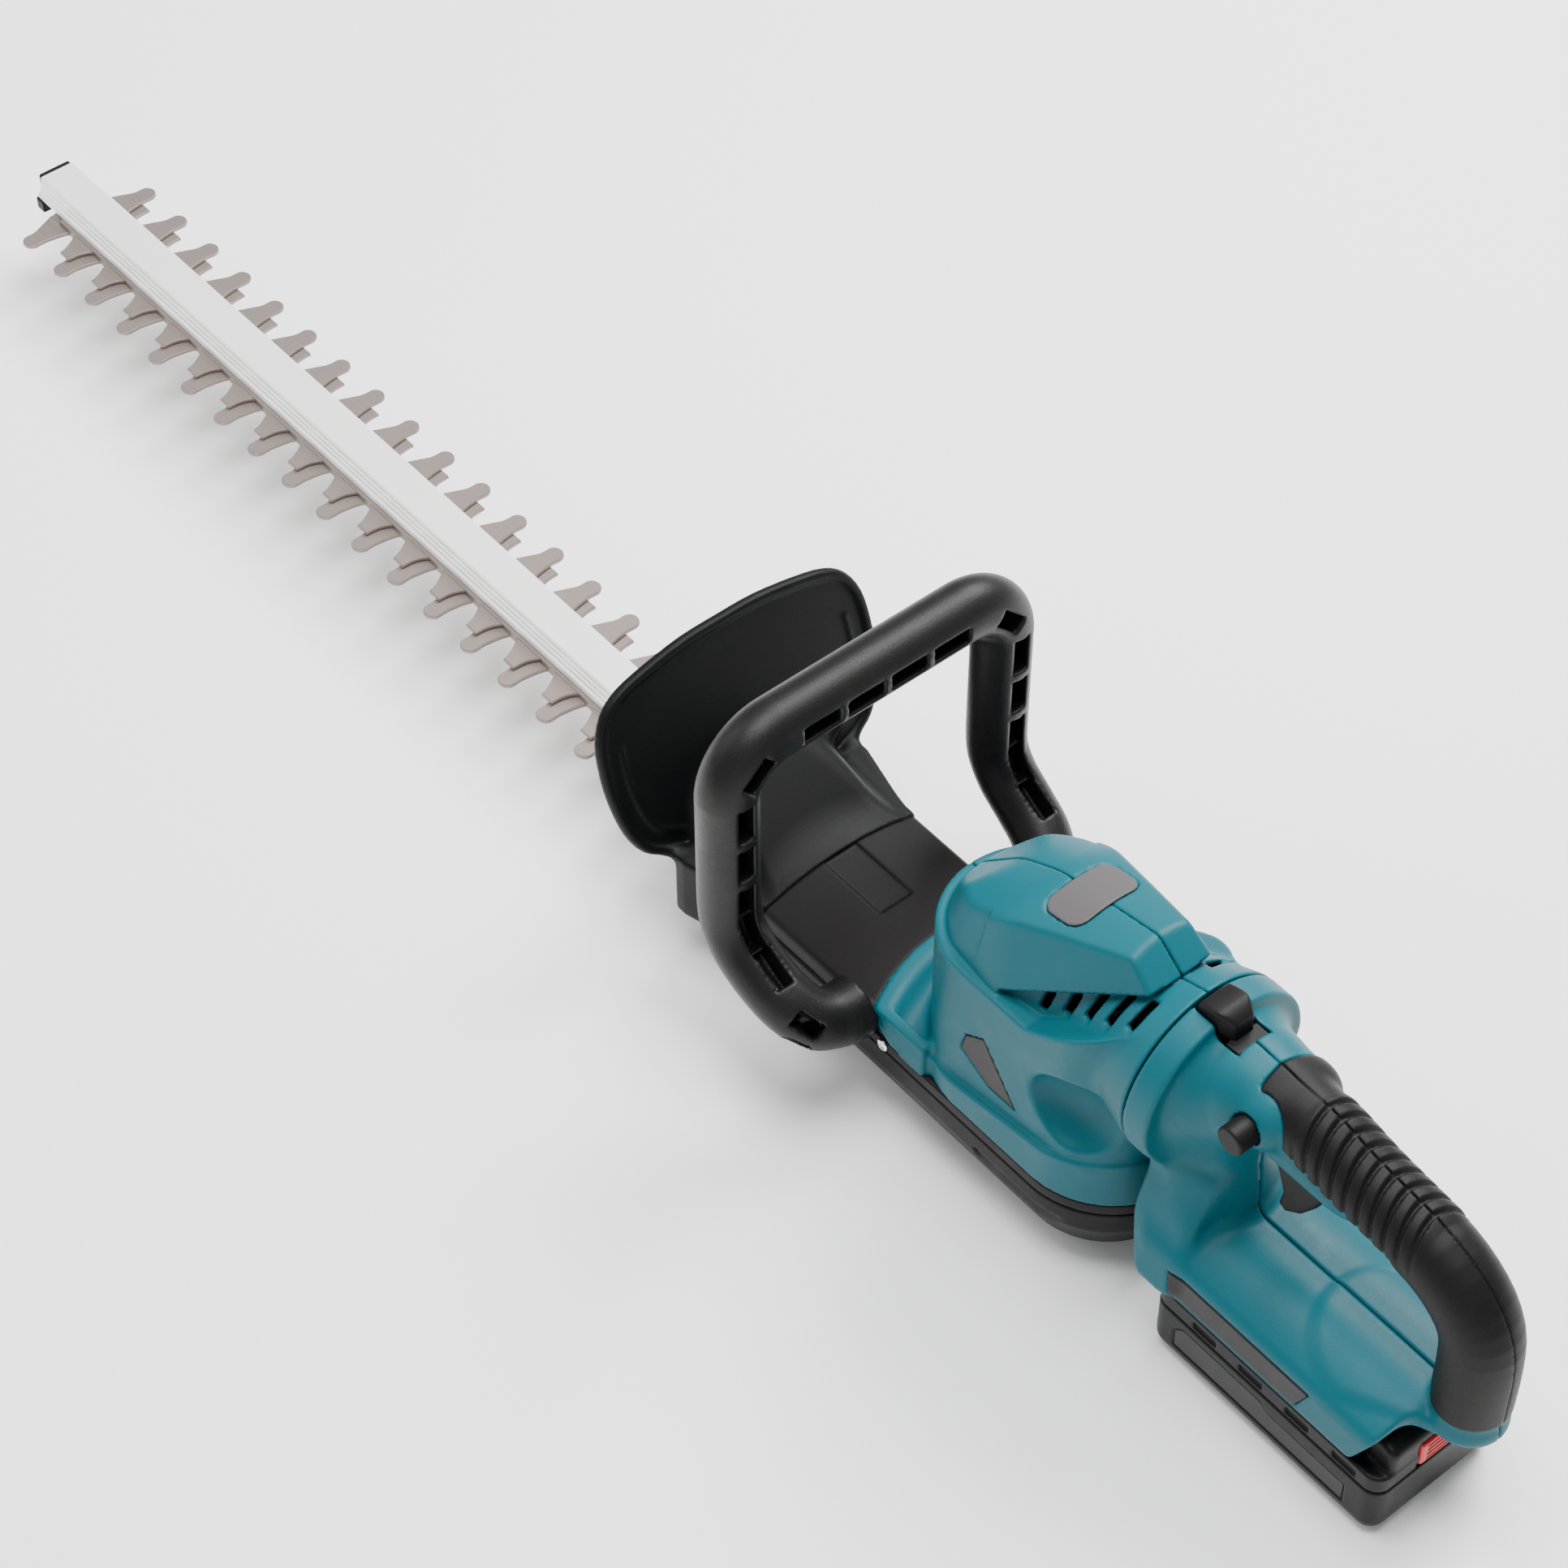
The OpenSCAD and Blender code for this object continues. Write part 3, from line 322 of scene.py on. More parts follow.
def chain(fields: Iterable[np.ndarray], k: float, op: Callable = smin) -> np.ndarray:
    """Joins several fields one after another."""
    items = iter(fields)
    total = next(items)
    for item in items:
        total = op(total, item, k)
    return total


def box(p: Grid, lo: Point, hi: Point, r: float = 1.0) -> np.ndarray:
    """Rounded box between two corners."""
    q = [np.abs(p[i] - (lo[i] + hi[i]) / 2) - ((hi[i] - lo[i]) / 2 - r) for i in range(3)]
    outer = np.sqrt(sum(np.maximum(c, 0) ** 2 for c in q))
    return outer + np.minimum(np.maximum(np.maximum(q[0], q[1]), q[2]), 0) - r


def rod(p: Grid, axis: int, centre: Point, span: Point, r: float, edge: float = 1.0) -> np.ndarray:
    """Rounded cylinder along an axis.

    Args:
        p: Sample points.
        axis: 0, 1 or 2.
        centre: Its centre on the other two axes.
        span: Its two ends.
        r: Its radius.
        edge: Rounding of its rims.

    Returns:
        Signed distances.
    """
    u, v = [p[i] for i in range(3) if i != axis]
    d = np.hypot(u - centre[0], v - centre[1]) - (r - edge)
    h = np.abs(p[axis] - (span[0] + span[1]) / 2) - ((span[1] - span[0]) / 2 - edge)
    outer = np.hypot(np.maximum(d, 0), np.maximum(h, 0))
    return outer + np.minimum(np.maximum(d, h), 0) - edge


def limb(p: Grid, a: Point, b: Point, ra: float, rb: float) -> np.ndarray:
    """Capsule that tapers from radius ra at a to rb at b."""
    ab = [b[i] - a[i] for i in range(3)]
    size = sum(c * c for c in ab)
    t = np.clip(sum((p[i] - a[i]) * ab[i] for i in range(3)) / size, 0, 1)
    far = np.sqrt(sum((p[i] - a[i] - ab[i] * t) ** 2 for i in range(3)))
    return far - (ra + (rb - ra) * t)


def ball(p: Grid, c: Point, r: Point) -> np.ndarray:
    """Ellipsoid, with its distance scaled near the surface."""
    k0 = np.sqrt(sum(((p[i] - c[i]) / r[i]) ** 2 for i in range(3)))
    k1 = np.sqrt(sum(((p[i] - c[i]) / r[i] ** 2) ** 2 for i in range(3)))
    return k0 * (k0 - 1) / np.maximum(k1, 1e-6)


def plane(p: Grid, normal: Point, at: Point) -> np.ndarray:
    """Half space behind a plane through a point; the normal needn't be of length one."""
    size = math.sqrt(sum(c * c for c in normal))
    return sum((p[i] - at[i]) * normal[i] for i in range(3)) / size


def outline(u: np.ndarray, v: np.ndarray, points: Sequence[Point]) -> np.ndarray:
    """Signed distance to a closed polygon in a plane."""
    best = None
    inside = None
    for (ax, ay), (bx, by) in zip(points, list(points[1:]) + [points[0]]):
        ex, ey = bx - ax, by - ay
        t = np.clip(((u - ax) * ex + (v - ay) * ey) / (ex * ex + ey * ey), 0, 1)
        d = (u - ax - ex * t) ** 2 + (v - ay - ey * t) ** 2
        cross = ((v >= ay) != (v >= by)) & ((u - ax) * (by - ay) * np.sign(by - ay) < (v - ay) * ex * np.sign(by - ay))
        best = d if best is None else np.minimum(best, d)
        inside = cross if inside is None else inside ^ cross
    return np.sqrt(best) * np.where(inside, -1.0, 1.0)


def smooth(points: Sequence[Point], parts: int, closed: bool = False) -> list[tuple[float, ...]]:
    """Runs a smooth curve through points.

    Args:
        points: The points, with any number of coordinates.
        parts: Steps between two neighbours.
        closed: Whether the curve returns to its start.

    Returns:
        Points along the curve, the given ones among them.
    """
    n = len(points)
    pick = (lambda i: points[i % n]) if closed else (lambda i: points[min(max(i, 0), n - 1)])
    curve = []
    for i in range(n if closed else n - 1):
        a, b, c, d = (pick(i + k) for k in (-1, 0, 1, 2))
        for t in (k / parts for k in range(parts)):
            weights = (-0.5 * t + t * t - 0.5 * t ** 3, 1 - 2.5 * t * t + 1.5 * t ** 3,
                       0.5 * t + 2 * t * t - 1.5 * t ** 3, -0.5 * t * t + 0.5 * t ** 3)
            curve.append(tuple(sum(w * v for w, v in zip(weights, row)) for row in zip(a, b, c, d)))
    return curve if closed else curve + [tuple(points[-1])]


def tube(p: Grid, path: Sequence[Point], radii: Sequence[float]) -> np.ndarray:
    """Round bar along a path, with a radius at each of its points."""
    pieces = (limb(p, a, b, ra, rb) for a, b, ra, rb in zip(path, path[1:], radii, radii[1:]))
    return chain(pieces, 1, lambda a, b, _: np.minimum(a, b))


def prism(d: np.ndarray, h: np.ndarray, low: float, high: float, edge: float) -> np.ndarray:
    """Flat shape d, given as a distance, drawn out between low and high along h, with round edges."""
    d = d + edge
    h = np.abs(h - (low + high) / 2) - ((high - low) / 2 - edge)
    return np.hypot(np.maximum(d, 0), np.maximum(h, 0)) + np.minimum(np.maximum(d, h), 0) - edge


def hollow(d: np.ndarray, wall: float) -> np.ndarray:
    """Shell of the given wall under the surface of d."""
    return np.maximum(d, -(d + wall))


def mirrored(p: Grid) -> Grid:
    """The same points folded onto the left side."""
    return p[0], np.abs(p[1]), p[2]


def side_half(p: Grid, d: np.ndarray, side: int, gap: float = 0.2) -> np.ndarray:
    """The half of d on one side of the middle plane, with a seam beside it."""
    return smax(d, gap - side * p[1], 0.7)


@dataclass(frozen=True)
class Sculpt:
    """A solid given by a field inside a box of space, in millimetres."""

    name: str
    field: Field
    low: tuple[float, float, float]
    high: tuple[float, float, float]
    step: float = 1.3

    def mesh(self) -> bpy.types.Mesh:
        """Samples the field, extracts quads and pulls their corners onto the surface."""
        step = self.step * 1.0
        start = [math.floor(c / step) - 1 for c in self.low]
        stop = [math.ceil(c / step) + 2 for c in self.high]
        axes = [np.arange(a, b, dtype=np.float32) * np.float32(step) for a, b in zip(start, stop)]
        p = (axes[0][:, None, None], axes[1][None, :, None], axes[2][None, None, :])
        values = np.broadcast_to(self.field(p), [len(a) for a in axes])
        band = 3 * step
        grid = vdb.FloatGrid(band)
        grid.transform = vdb.createLinearTransform(voxelSize=step)
        grid.copyFromArray(np.ascontiguousarray(np.clip(values, -band, band), dtype=np.float32), ijk=tuple(start))
        points, quads = grid.convertToQuads(0.0)
        points = self._settle(points.astype(np.float64), step)
        mesh = bpy.data.meshes.new(self.name)
        mesh.from_pydata((points * MM).tolist(), [], quads.tolist())
        mesh.update()
        if signed_volume(mesh) < 0:
            mesh.flip_normals()
        mesh.polygons.foreach_set("use_smooth", np.ones(len(mesh.polygons), bool))
        LOG.info("%s: %d quads", self.name, len(mesh.polygons))
        return mesh

    def _settle(self, points: np.ndarray, step: float) -> np.ndarray:
        """Moves points along the field's slope onto its zero level."""
        e = 0.15
        for _ in range(2):
            x, y, z = points.T
            d = self.field((x, y, z))
            slope = np.stack([
                self.field((x + e, y, z)) - self.field((x - e, y, z)),
                self.field((x, y + e, z)) - self.field((x, y - e, z)),
                self.field((x, y, z + e)) - self.field((x, y, z - e)),
            ], 1) / (2 * e)
            size = np.maximum((slope ** 2).sum(1), 0.25)
            move = -(d / size)[:, None] * slope
            length = np.maximum(np.linalg.norm(move, axis=1), 1e-9)
            points = points + move * np.minimum(1, 0.6 * step / length)[:, None]
        return points


def signed_volume(mesh: bpy.types.Mesh) -> float:
    """Returns a number that is positive if the faces look outward."""
    co = np.zeros(len(mesh.vertices) * 3)
    mesh.vertices.foreach_get("co", co)
    mesh.calc_loop_triangles()
    tris = np.zeros(len(mesh.loop_triangles) * 3, np.int32)
    mesh.loop_triangles.foreach_get("vertices", tris)
    t = co.reshape(-1, 3)[tris.reshape(-1, 3)]
    return float(np.einsum("ij,ij->i", t[:, 0], np.cross(t[:, 1], t[:, 2])).sum())


# ---------------------------------------------------------------- shapes


@dataclass(frozen=True)
class HousingSize:
    """Measures of the coloured motor housing."""

    wall_half: float = 44.6
    skirt_half: float = 46.2
    front_centre: float = -254.0
    back_centre: float = -303.0
    floor: float = 50.0
    collar: float = 44.0
    collar_z: float = 137.5
    seam: float = -349.7
    shell: float = 2.6


class Housing:
    """Motor housing: tower, hood, louvres, collar and front flange."""

    size = HousingSize()

    def plan(self, p: Grid, half: float) -> np.ndarray:
        """Distance to the tower's round-ended plan outline."""
        s = self.size
        x = p[0]
        over = np.where(x > s.front_centre, x - s.front_centre, np.where(x < s.back_centre, x - s.back_centre, 0))
        return np.hypot(over, p[1]) - half

    def neck(self, p: Grid, off: float) -> np.ndarray:
        """Distance to the crowned neck, grown by off."""
        top = np.hypot(p[1], p[2] + 62.6) - 130.6
        return smax(np.abs(p[1]) - 45, top, 3) - off

    def hood(self, p: Grid) -> np.ndarray:
        """The raised hood over the motor."""
        x, y, z = p
        crown = y * y * 0.0085
        planes = [
            plane(p, (-0.146, 0.938, 0.311), (-271, 40, 139)),
            plane(p, (0.108, 0.962, 0.248), (-233, 37.5, 134)),
            plane((x, y, z + crown), (0.19, 0, 0.98), (-282, 0, 182.3)),
            plane((x, y, z + crown), (0.47, 0, 0.88), (-253, 0, 173)),
            plane((x, y, z + crown * 0.4), (-0.62, 0, 0.78), (-331, 0, 181.5)),
            plane(p, (0.7, 0, 0.7), (-238, 0, 164)),
            np.where(x > -254, (np.hypot(x + 254, y) - 40.3 + 0.36 * (z - 136)) * 0.94, -50.0),
        ]
        return chain(planes, 2.0, smax)

    def body(self, p: Grid) -> np.ndarray:
        """Outer surface of the whole housing."""
        s = self.size
        q = mirrored(p)
        x, y, z = q
        rise = np.maximum(-292 - x, 0)
        rim = 136.5 + rise * 0.60
        edge = 139 + np.maximum(-271 - x, 0) * 0.60
        hood = self.hood(q)
        over = smax(hood, np.where(x > -271, 135.0, edge) - z, 1.2)
        core = smax(smax(hood + 4.6, self.plan(q, 37.0), 2), 100 - z, 1)
        tower = smax(self.plan(q, s.wall_half), z - rim, 1.6)
        tower = smax(tower, y - 42.9 - 0.018 * (z - 60), 2)
        ledge = 61 + np.maximum(-233 - x, 0) * 0.16
        skirt = smax(self.plan(q, s.skirt_half), z - ledge, 1.4)
        tower = smin(tower, skirt, 1.2)
        cone = np.hypot(y, z - s.collar_z + (x - s.seam) * 0.05) - (s.collar - (x - s.seam) * 0.30)
        cone = smax(cone, x + 296, 4)
        d = smin(tower, cone, 4)
        d = smin(d, core, 1.2)
        d = smin(d, over, 0.8)
        # dents of the side wall
        d = cut(d, ball(q, (-330, 47, 103), (34, 20, 24)), 1.8)
        d = cut(d, ball(q, (-356, 52, 80), (34, 22, 20)), 3)
        d = cut(d, ball(q, (-222, 41, 92), (12, 6, 15)), 2)
        d = smax(d, s.floor - z, 1)
        d = smin(d, smax(self.flange(q), s.floor - z, 1), 5)
        return smax(d, s.seam - x, 1.2)

    def flange(self, q: Grid) -> np.ndarray:
        """The band that laps over the black neck, with its raised ridge."""
        x, _, z = q
        line = np.maximum(x + 166, (x + 166) * 0.621 - (z - 86) * 0.784)
        band = smax(self.neck(q, 1.1), np.maximum(line + 0.4, -232 - x), 1)
        back = np.maximum(line + 9.5, np.maximum(41.0 - q[1], -234 - x))
        ridge = smax(self.neck(q, 7.0), np.minimum(np.abs(line + 9.5) - 3.0, back), 2)
        ridge = smax(ridge, q[1] - 46.3, 1.0)
        return smin(band, ridge, 3.0)

    def field(self, side: int) -> Field:
        """Returns one half's field, side being 1 for left."""

        def at(p: Grid) -> np.ndarray:
            q = mirrored(p)
            x, y, z = q
            skin = self.body(p)
            d = hollow(skin, self.size.shell)
            for i in range(5):
                c = -289.5 - 11.2 * i
                low = 136.5 + max(-292 - c, 0) * 0.6 + 1.6
                high = 139 + max(-271 - c, 0) * 0.6 - 0.8
                slot = np.maximum(np.abs(x - c + (z - low) * 0.15) - 2.1, np.maximum(low - z, z - high))
                d = cut(d, np.maximum(slot, 14 - y), 0.5)
            badge = np.maximum(outline(x, y, badge_points(11.3, 19.3)), 160 - z)
            plate = np.maximum(outline(x, z, side_plate_points(0.4)), 30 - y)
            d = cut(d, np.maximum(np.minimum(badge, plate), -skin - 1.2), 0.3)
            return side_half(p, d, side, 0.15)

        return at


def badge_points(half_x: float, half_y: float) -> list[tuple[float, float]]:
    """Corners of the badge's rounded outline, seen from above."""
    r = 7.0
    points = []
    for cx, cy, start in ((1, 1, 0), (-1, 1, 90), (-1, -1, 180), (1, -1, 270)):
        for k in range(7):
            a = math.radians(start + 15 * k)
            points.append((-282 + cx * (half_x - r) + r * math.cos(a), cy * (half_y - r) + r * math.sin(a)))
    return points


def side_plate_points(grow: float) -> list[tuple[float, float]]:
    """Corners of the small plate on the housing's side, from the side."""
    base = [(-254, 88), (-257, 99), (-268, 106), (-289, 78), (-272, 78)]
    cx, cz = -268, 90
    return [(cx + (x - cx) * (1 + grow / 18), cz + (z - cz) * (1 + grow / 16)) for x, z in base]


def badge(p: Grid) -> np.ndarray:
    """Grey badge that follows the hood's top."""
    shape = np.maximum(outline(p[0], np.abs(p[1]), badge_points(10.9, 18.9)), 160 - p[2])
    return smax(shape, np.abs(Housing().body(p) + 0.35) - 0.65, 0.5)


def side_plates(p: Grid) -> np.ndarray:
    """Blank plates in the housing's sides."""
    shape = np.maximum(outline(p[0], p[2], side_plate_points(0.0)), 30 - np.abs(p[1]))
    return smax(shape, np.abs(Housing().body(p) + 0.6) - 0.5, 0.3)


class Neck:
    """Black gear cover and base under the housing."""

    def cover(self, p: Grid) -> np.ndarray:
        """Field of the gear cover."""
        q = mirrored(p)
        x, y, z = q
        shape = Housing().neck(q, 0.0)
        line = np.maximum(x + 166, (x + 166) * 0.621 - (z - 86) * 0.784)
        d = smax(shape, np.maximum(-line, np.maximum(x + 124.3, 50.1 - z)), 1)
        d = smax(d, -214 - x, 1)
        d = hollow(d, 2.8)
        panel = box(q, (-163, -9, 66.8), (-125, 9, 80), 0.6)
        groove = np.maximum(np.abs(panel) - 0.45, 66.6 - z)
        d = cut(d, np.maximum(groove, 66.4 - z), 0.3)
        d = smin(d, rod(q, 1, (-190, 58), (42, 46.1), 6.4, 0.8), 0.6)
        return cut(d, rod(q, 1, (-190, 58), (30, 60), 2.3, 0.3), 0.3)

    def plan(self, q: Grid, inset: float) -> np.ndarray:
        """Plan outline of the base."""
        x, y, _ = q
        back = np.maximum(-303 - x, 0)
        return smax(np.hypot(back, y) - (46 - inset), x + 124.2 + inset * 0.3, 2)

    def case(self, p: Grid) -> np.ndarray:
        """Field of the gear case's visible rim and deck."""
        q = mirrored(p)
        z = q[2]
        rim = smax(smax(self.plan(q, 0.1), z - 49.9, 0.8), 43.2 - z, 1.2)
        rim = cut(rim, smax(self.plan(q, 3.0), z - 48.2, 0.5), 0.5)
        deck = smax(smax(self.plan(q, 4.4), z - 54, 1), 48.2 - z, 0.5)
        d = np.minimum(rim, deck)
        d = cut(d, rod(p, 2, (-246, 0), (40, 60), 11.1, 0.3), 0.3)
        d = np.minimum(d, cut(rod(p, 2, (-246, 0), (53, 59), 14, 0.6), rod(p, 2, (-246, 0), (40, 70), 11.1, 0.3), 0.3))
        seat = cut(rod(p, 2, (-279.85, 0), (53, 60), 20, 0.6), rod(p, 2, (-279.85, 0), (40, 70), 12.1, 0.3), 0.3)
        d = cut(np.minimum(d, seat), rod(p, 2, (-279.85, 0), (40, 70), 12.1, 0.3), 0.3)
        d = cut(d, box(p, (-150, -17, 30), (-90, 17, 70), 0.5), 0.3)
        return cut(d, rod(q, 1, (-208, 46.5), (30, 60), 1.9, 0.3), 0.3)

    def base(self, p: Grid) -> np.ndarray:
        """Field of the base cover with its tapered underside."""
        q = mirrored(p)
        x, y, z = q
        taper = np.maximum(31 - z, 0) * 0.42 + 0.1
        d = smax(smax(self.plan(q, 0.0) + taper, z - 42.8, 0.9), 12.2 - z, 3)
        cavity = smax(self.plan(q, 3.0) + np.maximum(34 - z, 0) * 0.5, 16 - z, 1)
        d = cut(d, cavity, 0.8)
        d = cut(d, box(p, (-144, -17, 25), (-104, 17, 65), 0.5), 0.3)
        notch = chain([x + 268, z - 34.0, 42.2 - y], 1.2, smax)
        return cut(d, notch, 0.8)


class Guard:
    """Hand guard with its raised rim and the hump that covers the blade clamp."""

    lean = math.radians(17.4)

    def points(self) -> list[tuple[float, float]]:
        """Outline across the guard, half width against height along the sheet."""
        half = [(0, 95.6), (21, 95.2), (44, 91.8), (60, 87.6), (70, 80.5), (76.2, 68), (77.9, 52),
                (77.3, 36), (73.8, 18), (67.3, 5), (58, -2.3), (49, -8), (46, -20), (45, -36), (0, -38)]
        return smooth(half + [(-y, z) for y, z in reversed(half)][1:-1], 3, closed=True)

    def field(self, p: Grid) -> np.ndarray:
        """Field of the whole guard."""
        x, y, z = p
        q = mirrored(p)
        up = (x + 69) * math.sin(self.lean) + (z - 62) * math.cos(self.lean)
        out = (x + 69) * math.cos(self.lean) - (z - 62) * math.sin(self.lean)
        shape = outline(y, up, self.points())
        sheet = prism(shape, out, 0.1, 2.6, 0.9)
        rim = prism(np.abs(shape + 2.4) - 2.0, out, -1.8, 3.4, 1.3)
        sheet = smin(sheet, rim, 2.0)
        crease = prism(np.abs(shape + 12.5) - 0.8, out, -0.6, 1.0, 0.5)
        sheet = smin(sheet, smax(crease, z - 120, 1), 2.0)
        foot = smax(box(q, (-92, -42, 0.2), (-76, 42, 40), 3), plane(q, (-0.8, 0, 0.6), (-90, 0, 18)), 3)
        neck = Housing().neck(q, 0.0)
        back = smax(smax(neck, x + 80, 1), -124.1 - x, 1)
        back = smax(back, 22 - z, 2)
        tunnel = smax(np.hypot(y, z - 52 - (x + 124) * 0.16) - 38 + (x + 80) * -0.05, np.maximum(x + 64, -122 - x), 2)
        tunnel = smax(tunnel, -(x + 118) * 0.55 + (z - 66) * 0.9, 6)
        wide = q[1] - 45 - np.clip((x + 118) / 38, 0, 1) * 10
        flare = chain((wide, z - 61.5, x + 73, -124.1 - x, 24 - z), 3, smax)
        hump = smin(smin(back, flare, 3), tunnel, 8)
        d = smin(smin(sheet, hump, 6), foot, 2)
        inner = smax(smax(neck + 2.6, np.maximum(x + 84, -122 - x), 1), 24 - z, 1)
        d = cut(d, inner, 1)
        d = cut(d, box(p, (-200, -17, 24), (0, 17, 56), 0.5), 0.4)
        return smax(d, 0.2 - z, 0.8)


class LoopHandle:
    """Front loop handle: a thick tube with a row of slots in its rear face."""

    tube = 13.9
    leg = ((-141, 77.5, 112), (-142.5, 77.5, 98), (-150, 77.4, 86), (-163, 76.8, 77), (-177, 74.5, 69.5),
           (-187, 68, 62.5), (-190, 56, 58.5), (-190, 40, 57.5))
    slots = (((-141, 12, 200), (0, 1, 0), 10.0), ((-141, 36, 200), (0, 1, 0), 10.0),
             ((-141, 69.9, 192.4), (0, 1, -1), 8.5), ((-141, 77.5, 167), (0, 0, 1), 10.5),
             ((-141, 77.5, 142), (0, 0, 1), 10.0), ((-141, 77.5, 117), (0, 0, 1), 10.0),
             ((-146, 77.5, 93), (-0.45, 0, -0.9), 9.5), ((-164, 76.6, 77), (-0.86, 0, -0.5), 9.5),
             ((-184, 71, 64), (-0.62, -0.45, -0.5), 7.0))

    def tube_field(self, q: Grid) -> np.ndarray:
        """The bare tube."""
        x, y, z = q
        r = self.tube
        top = limb(q, (-141, -5, 200), (-141, 51.5, 200), r, r)
        ring = np.hypot(np.hypot(y - 51.5, z - 174) - 26, x + 141) - r
        ring = np.maximum(ring, np.maximum(51.5 - y, 174 - z))
        path = smooth(self.leg, 5)
        radii = [r + 2.0 * max(0.0, k / (len(path) - 1) - 0.8) / 0.2 for k in range(len(path))]
        leg = np.minimum(limb(q, (-141, 77.5, 176), self.leg[0], r, r), tube(q, path, radii))
        return np.minimum(np.minimum(top, ring), leg)

    def field(self, p: Grid) -> np.ndarray:
        """Tube with its slots, ribs and screw recess."""
        q = mirrored(p)
        tube = self.tube_field(q)
        d = tube
        for centre, tangent, half in self.slots:
            along = Vector(tangent).normalized()
            back = Vector((-1, 0, 0)) + along.x * along
            back.normalize()
            wide = along.cross(back)
            far = [p_i - c for p_i, c in zip(q, centre)]
            run, deep, side = (sum(f * v for f, v in zip(far, axis)) for axis in (along, back, wide))
            hole = np.maximum(np.maximum(np.abs(run) - half, np.abs(side) - 4.2), 1.0 - deep)
            d = cut(d, np.maximum(hole, -(tube + 11.5)), 0.7)
        d = cut(d, rod(q, 1, (-190, 58), (62, 120), 5.6, 0.3), 0.5)
        d = cut(d, rod(q, 1, (-190, 58), (30, 80), 2.3, 0.3), 0.3)
        return smax(d, np.minimum(46.3 - q[1], 100 - q[2]), 0.8)


